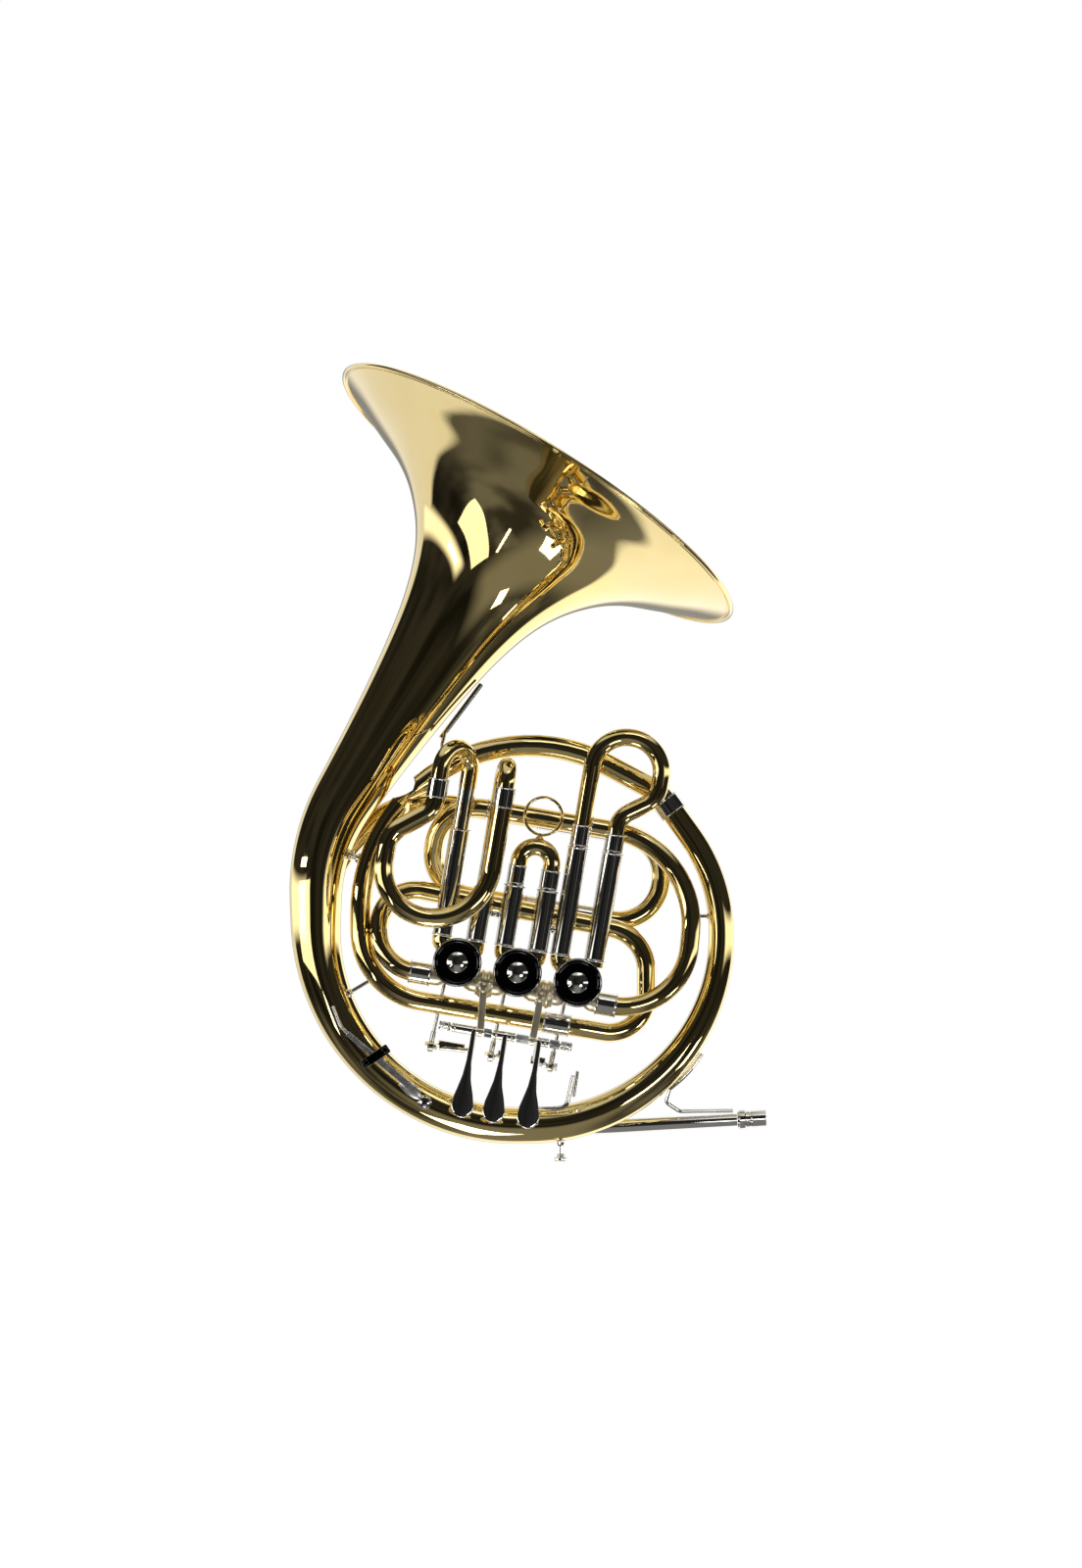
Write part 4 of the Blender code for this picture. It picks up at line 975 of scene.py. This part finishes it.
def flange(point, direction, radius):
    """A small domed foot that a brace is soldered by."""
    profile = [(0, 2.6), (1.5, 2.4), (2.2, 1.3), (radius, 0.5), (radius, -1.0), (0, -1)]
    return turned(point, direction, profile, 28, size=0.3)


def post(start, end, radius, foot, sides=24, inset=0.0):
    """A short bar with a domed foot near either end."""
    start, end = Vector(start), Vector(end)
    run = (end - start).normalized()
    return [bar([start, end], radius, sides), flange(start + run * inset, run, foot),
            flange(end - run * inset, -run, foot)]


def braces():
    side = bar([Vector((-9.0, 28, 288.4)), Vector((-35.5, 19.5, 253.0))], 1.7, 24)
    wire = bar(route([(-32.6, 20.4, 257), (-34.5, 10, 249, 3), (-34.5, 1, 243.0)]), 1.3, 24)
    piece("fine_brace_bell", [side, wire], NICKEL, node="brace_bell", place=WORLD)
    side = bar(route([(135.2, 2, 46.6), (126, 2, 33.6, 60), (113.5, 3, 23.4)]), 1.5, 24)
    wire = bar(route([(114.5, 3, 24.4), (111.5, 8, 15, 4), (120.5, 14, 8.9, 5), (155.5, 17, 9.2)]), 1.3, 24)
    piece("fine_brace_leadpipe", [side, wire], NICKEL, node="brace_leadpipe", place=WORLD)
    posts = (("brace_bell_tail", (-94.6, 2, 176.8), (-88.5, -1, 174.2), 1.8),
             ("brace_lower_left", (-95.6, -3, 86.4), (-80.2, -5, 95.6), 1.3))
    for name, start, end, radius in posts:
        piece(f"fine_{name}", post(start, end, radius, 3.4, 24, 0.6), NICKEL, node=name, place=WORLD)
    piece("fine_brace_right", post((129.6, -3, 136.8), (140.4, -1, 136.8), 1.3, 3.0), NICKEL, place=WORLD)


def leg_braces():
    """Short posts that tie neighbouring slide sleeves together."""
    for name, left, right, v in (("fine_leg_brace_1", SLIDE_U[3][1], SLIDE_U[2][0], 34.9),
                                 ("fine_leg_brace_2", SLIDE_U[2][1], SLIDE_U[1][0], 31.1)):
        start = Vector((left + SLEEVE_R - 0.5, VALVE_Y, v))
        end = Vector((right - SLEEVE_R + 0.5, VALVE_Y, v))
        piece(name, [*post(start, end, 1.1, 2.8, 20), ball((start + end) / 2, 2.1)], NICKEL)


# ---- stage -------------------------------------------------------------------------------------

def between(tree, source, output, low, high, bottom=0.0, top=1.0):
    """A smooth step from bottom to top as a value goes from low to high."""
    step = tree.nodes.new("ShaderNodeMapRange")
    step.interpolation_type = "SMOOTHSTEP"
    put(step, From_Min=low, From_Max=high, To_Min=bottom, To_Max=top)
    link(tree, source, output, step, "Value")
    return step


def maths(tree, operation, first, second=None):
    node = tree.nodes.new("ShaderNodeMath")
    node.operation = operation
    tree.links.new(first.outputs[0], node.inputs[0])
    if second:
        tree.links.new(second.outputs[0], node.inputs[1])
    return node


def axis_of(tree, split, name):
    """One part of a direction, on a node of its own."""
    node = tree.nodes.new("ShaderNodeMath")
    node.operation = "ADD"
    node.inputs[1].default_value = 0.0
    link(tree, split, name, node, 0)
    return node


def world():
    """A dim studio round a white sheet behind the horn, with a long lit band at either side."""
    made = bpy.data.worlds.new("studio")
    bpy.context.scene.world = made
    made.use_nodes = True
    tree = made.node_tree
    background = tree.nodes["Background"]
    coords = tree.nodes.new("ShaderNodeTexCoord")
    split = tree.nodes.new("ShaderNodeSeparateXYZ")
    link(tree, coords, "Generated", split, "Vector")
    across = maths(tree, "ABSOLUTE", axis_of(tree, split, "X"))
    up = axis_of(tree, split, "Z")
    level = maths(tree, "ABSOLUTE", up)

    # the sheet: brighter to the right, dimmer straight behind, and shorter above the horn
    depth = maths(tree, "SUBTRACT", axis_of(tree, split, "Y"), between(tree, up, 0, -0.1, 0.15, 0.0, 0.2))
    sheet = maths(tree, "MULTIPLY", between(tree, depth, 0, 0.43, 0.51),
                  between(tree, split, "Y", 0.97, 0.90, 0.25, 1.0))
    sheet = maths(tree, "MULTIPLY", sheet, between(tree, split, "X", -0.6, 0.3, 0.85, 1.4))

    # the bands at either side, the ceiling, and what shines up from below
    sides = maths(tree, "MAXIMUM", between(tree, split, "X", -0.62, -0.80),
                  between(tree, split, "X", 0.50, 0.68))
    band = maths(tree, "MULTIPLY", between(tree, level, 0, 0.13, 0.03, 0.0, 1.5), sides)
    ceiling = between(tree, up, 0, 0.62, 0.80, 0.0, 0.62)
    under = maths(tree, "MULTIPLY", between(tree, across, 0, 0.55, 0.15, 0.0, 0.21),
                  between(tree, up, 0, -0.12, -0.45))
    lit = maths(tree, "MAXIMUM", maths(tree, "MAXIMUM", sheet, band), maths(tree, "MAXIMUM", ceiling, under))

    # a faint haze, strongest from below
    smoke = tree.nodes.new("ShaderNodeTexNoise")
    put(smoke, Scale=2.2, Detail=2)
    link(tree, coords, "Generated", smoke, "Vector")
    haze = maths(tree, "MULTIPLY", between(tree, smoke, "Fac", 0.40, 0.66, 0.02, 0.12),
                 between(tree, up, 0, -0.30, -0.60))
    dim = maths(tree, "ADD", haze, between(tree, smoke, "Fac", 0.3, 0.7, 0.008, 0.03))
    total = maths(tree, "MAXIMUM", lit, dim)

    path = tree.nodes.new("ShaderNodeLightPath")
    seen = maths(tree, "MAXIMUM", total, axis_of(tree, path, "Is Camera Ray"))
    put(background, Color=(1, 1, 1, 1))
    tree.links.new(seen.outputs[0], background.inputs["Strength"])


def lamp(name, place, aim, size, brightness, spin):
    """A flat lamp of a given brightness, which the camera doesn't see. It is spun about its aim."""
    data = bpy.data.lights.new(name, "AREA")
    data.shape = "RECTANGLE"
    data.size, data.size_y = size
    data.energy = brightness * math.pi * size[0] * size[1]
    obj = bpy.data.objects.new(name, data)
    obj.location = place
    turn = (Vector(aim) - Vector(place)).to_track_quat("-Z", "Y").to_matrix()
    obj.rotation_euler = (turn @ Matrix.Rotation(math.radians(spin), 3, "Z")).to_euler()
    obj.visible_camera = False
    bpy.context.scene.collection.objects.link(obj)


def lamps():
    """Small bright lamps: they make the points of light on the bell's neck and flare."""
    bell_low = Vector((0.0, -0.02, 0.36))
    for name, way, size, brightness, spin in (
            ("lamp_square", (-0.06, -0.10, -0.54), (0.12, 0.12), 5, 20),
            ("lamp_round", (0.19, -0.40, -0.40), (0.11, 0.09), 5, 30),
            ("lamp_corner", (0.37, -0.13, -0.48), (0.09, 0.08), 4, 0),
            ("lamp_tube", (-0.28, -0.33, -0.38), (0.02, 0.18), 4, -49),
            ("lamp_side", (-1.1, -0.45, 0.02), (0.5, 0.07), 5, 0),
            ("lamp_panel", (-0.58, -0.36, -0.26), (0.62, 0.24), 1.5, 0),
            ("lamp_ceiling", (0.6, -1.5, 1.8), (1.2, 0.35), 1.6, 0)):
        lamp(name, bell_low + Vector(way), bell_low, size, brightness, spin)


def floor():
    """A pale round floor well below the held horn, which fades to white at its edge through a painted glow:
    an emission that is weakest at the middle.
    """
    bm = bmesh.new()
    bmesh.ops.create_circle(bm, cap_ends=True, segments=96, radius=3.0)
    mesh = bpy.data.meshes.new("floor")
    bm.to_mesh(mesh)
    bm.free()
    obj = bpy.data.objects.new("floor", mesh)
    obj.location = (0.03, 0, CAD_BOX[0].z - 0.30)
    obj.visible_glossy = False
    bpy.context.scene.collection.objects.link(obj)
    material = bpy.data.materials.new("pale_floor")
    material.use_nodes = True
    tree = material.node_tree
    shader = tree.nodes["Principled BSDF"]
    put(shader, Base_Color=(0.90, 0.90, 0.89, 1), Roughness=0.8, Emission_Color=(1, 1, 1, 1))
    coords = tree.nodes.new("ShaderNodeTexCoord")
    length = tree.nodes.new("ShaderNodeVectorMath")
    length.operation = "LENGTH"
    tree.links.new(coords.outputs["Object"], length.inputs[0])
    # painted glow: emission that brightens the floor from 0.62 near the middle to full white 1.6 m out, so
    # the floor meets the white backdrop
    painted_glow = between(tree, length, "Value", 0.3, 1.6, 0.62, 1.0)
    link(tree, painted_glow, "Result", shader, "Emission Strength")
    mesh.materials.append(material)


def camera():
    """Far off with a long lens, level with the middle of the picture."""
    reach = 8.0
    picture_height = 1.024
    data = bpy.data.cameras.new("camera")
    data.sensor_width = 36
    data.lens = data.sensor_width * reach / picture_height
    obj = bpy.data.objects.new("camera", data)
    aim = Vector((0.030, 0, 0.223))
    obj.location = aim + Vector((0, -reach, 0))
    obj.rotation_euler = (aim - obj.location).to_track_quat("-Z", "Y").to_euler()
    bpy.context.scene.collection.objects.link(obj)
    bpy.context.scene.camera = obj


bell()
rim()
ferrules()
second_branch()
valve3_branch()
valve1_branch()
main_slide()
leadpipe()
receiver()
for valve in (1, 2, 3):
    casing(valve)
    knuckles(valve)
    cap(valve)
    bearing_plate(valve)
    stop_arm(valve)
    push_rod(valve)
    rotor(valve)
    lever(valve)
    spring(valve)
axle()
lever_bracket("left", (VALVE_U[3] + VALVE_U[2]) / 2)
lever_bracket("right", (VALVE_U[2] + VALVE_U[1]) / 2)
sleeves()
slide_1()
slide_2()
slide_3()
pinky_hook()
thumb_rest()
strap_stud()
braces()
leg_braces()

world()
lamps()
floor()
camera()
bpy.context.scene.view_settings.view_transform = "Standard"
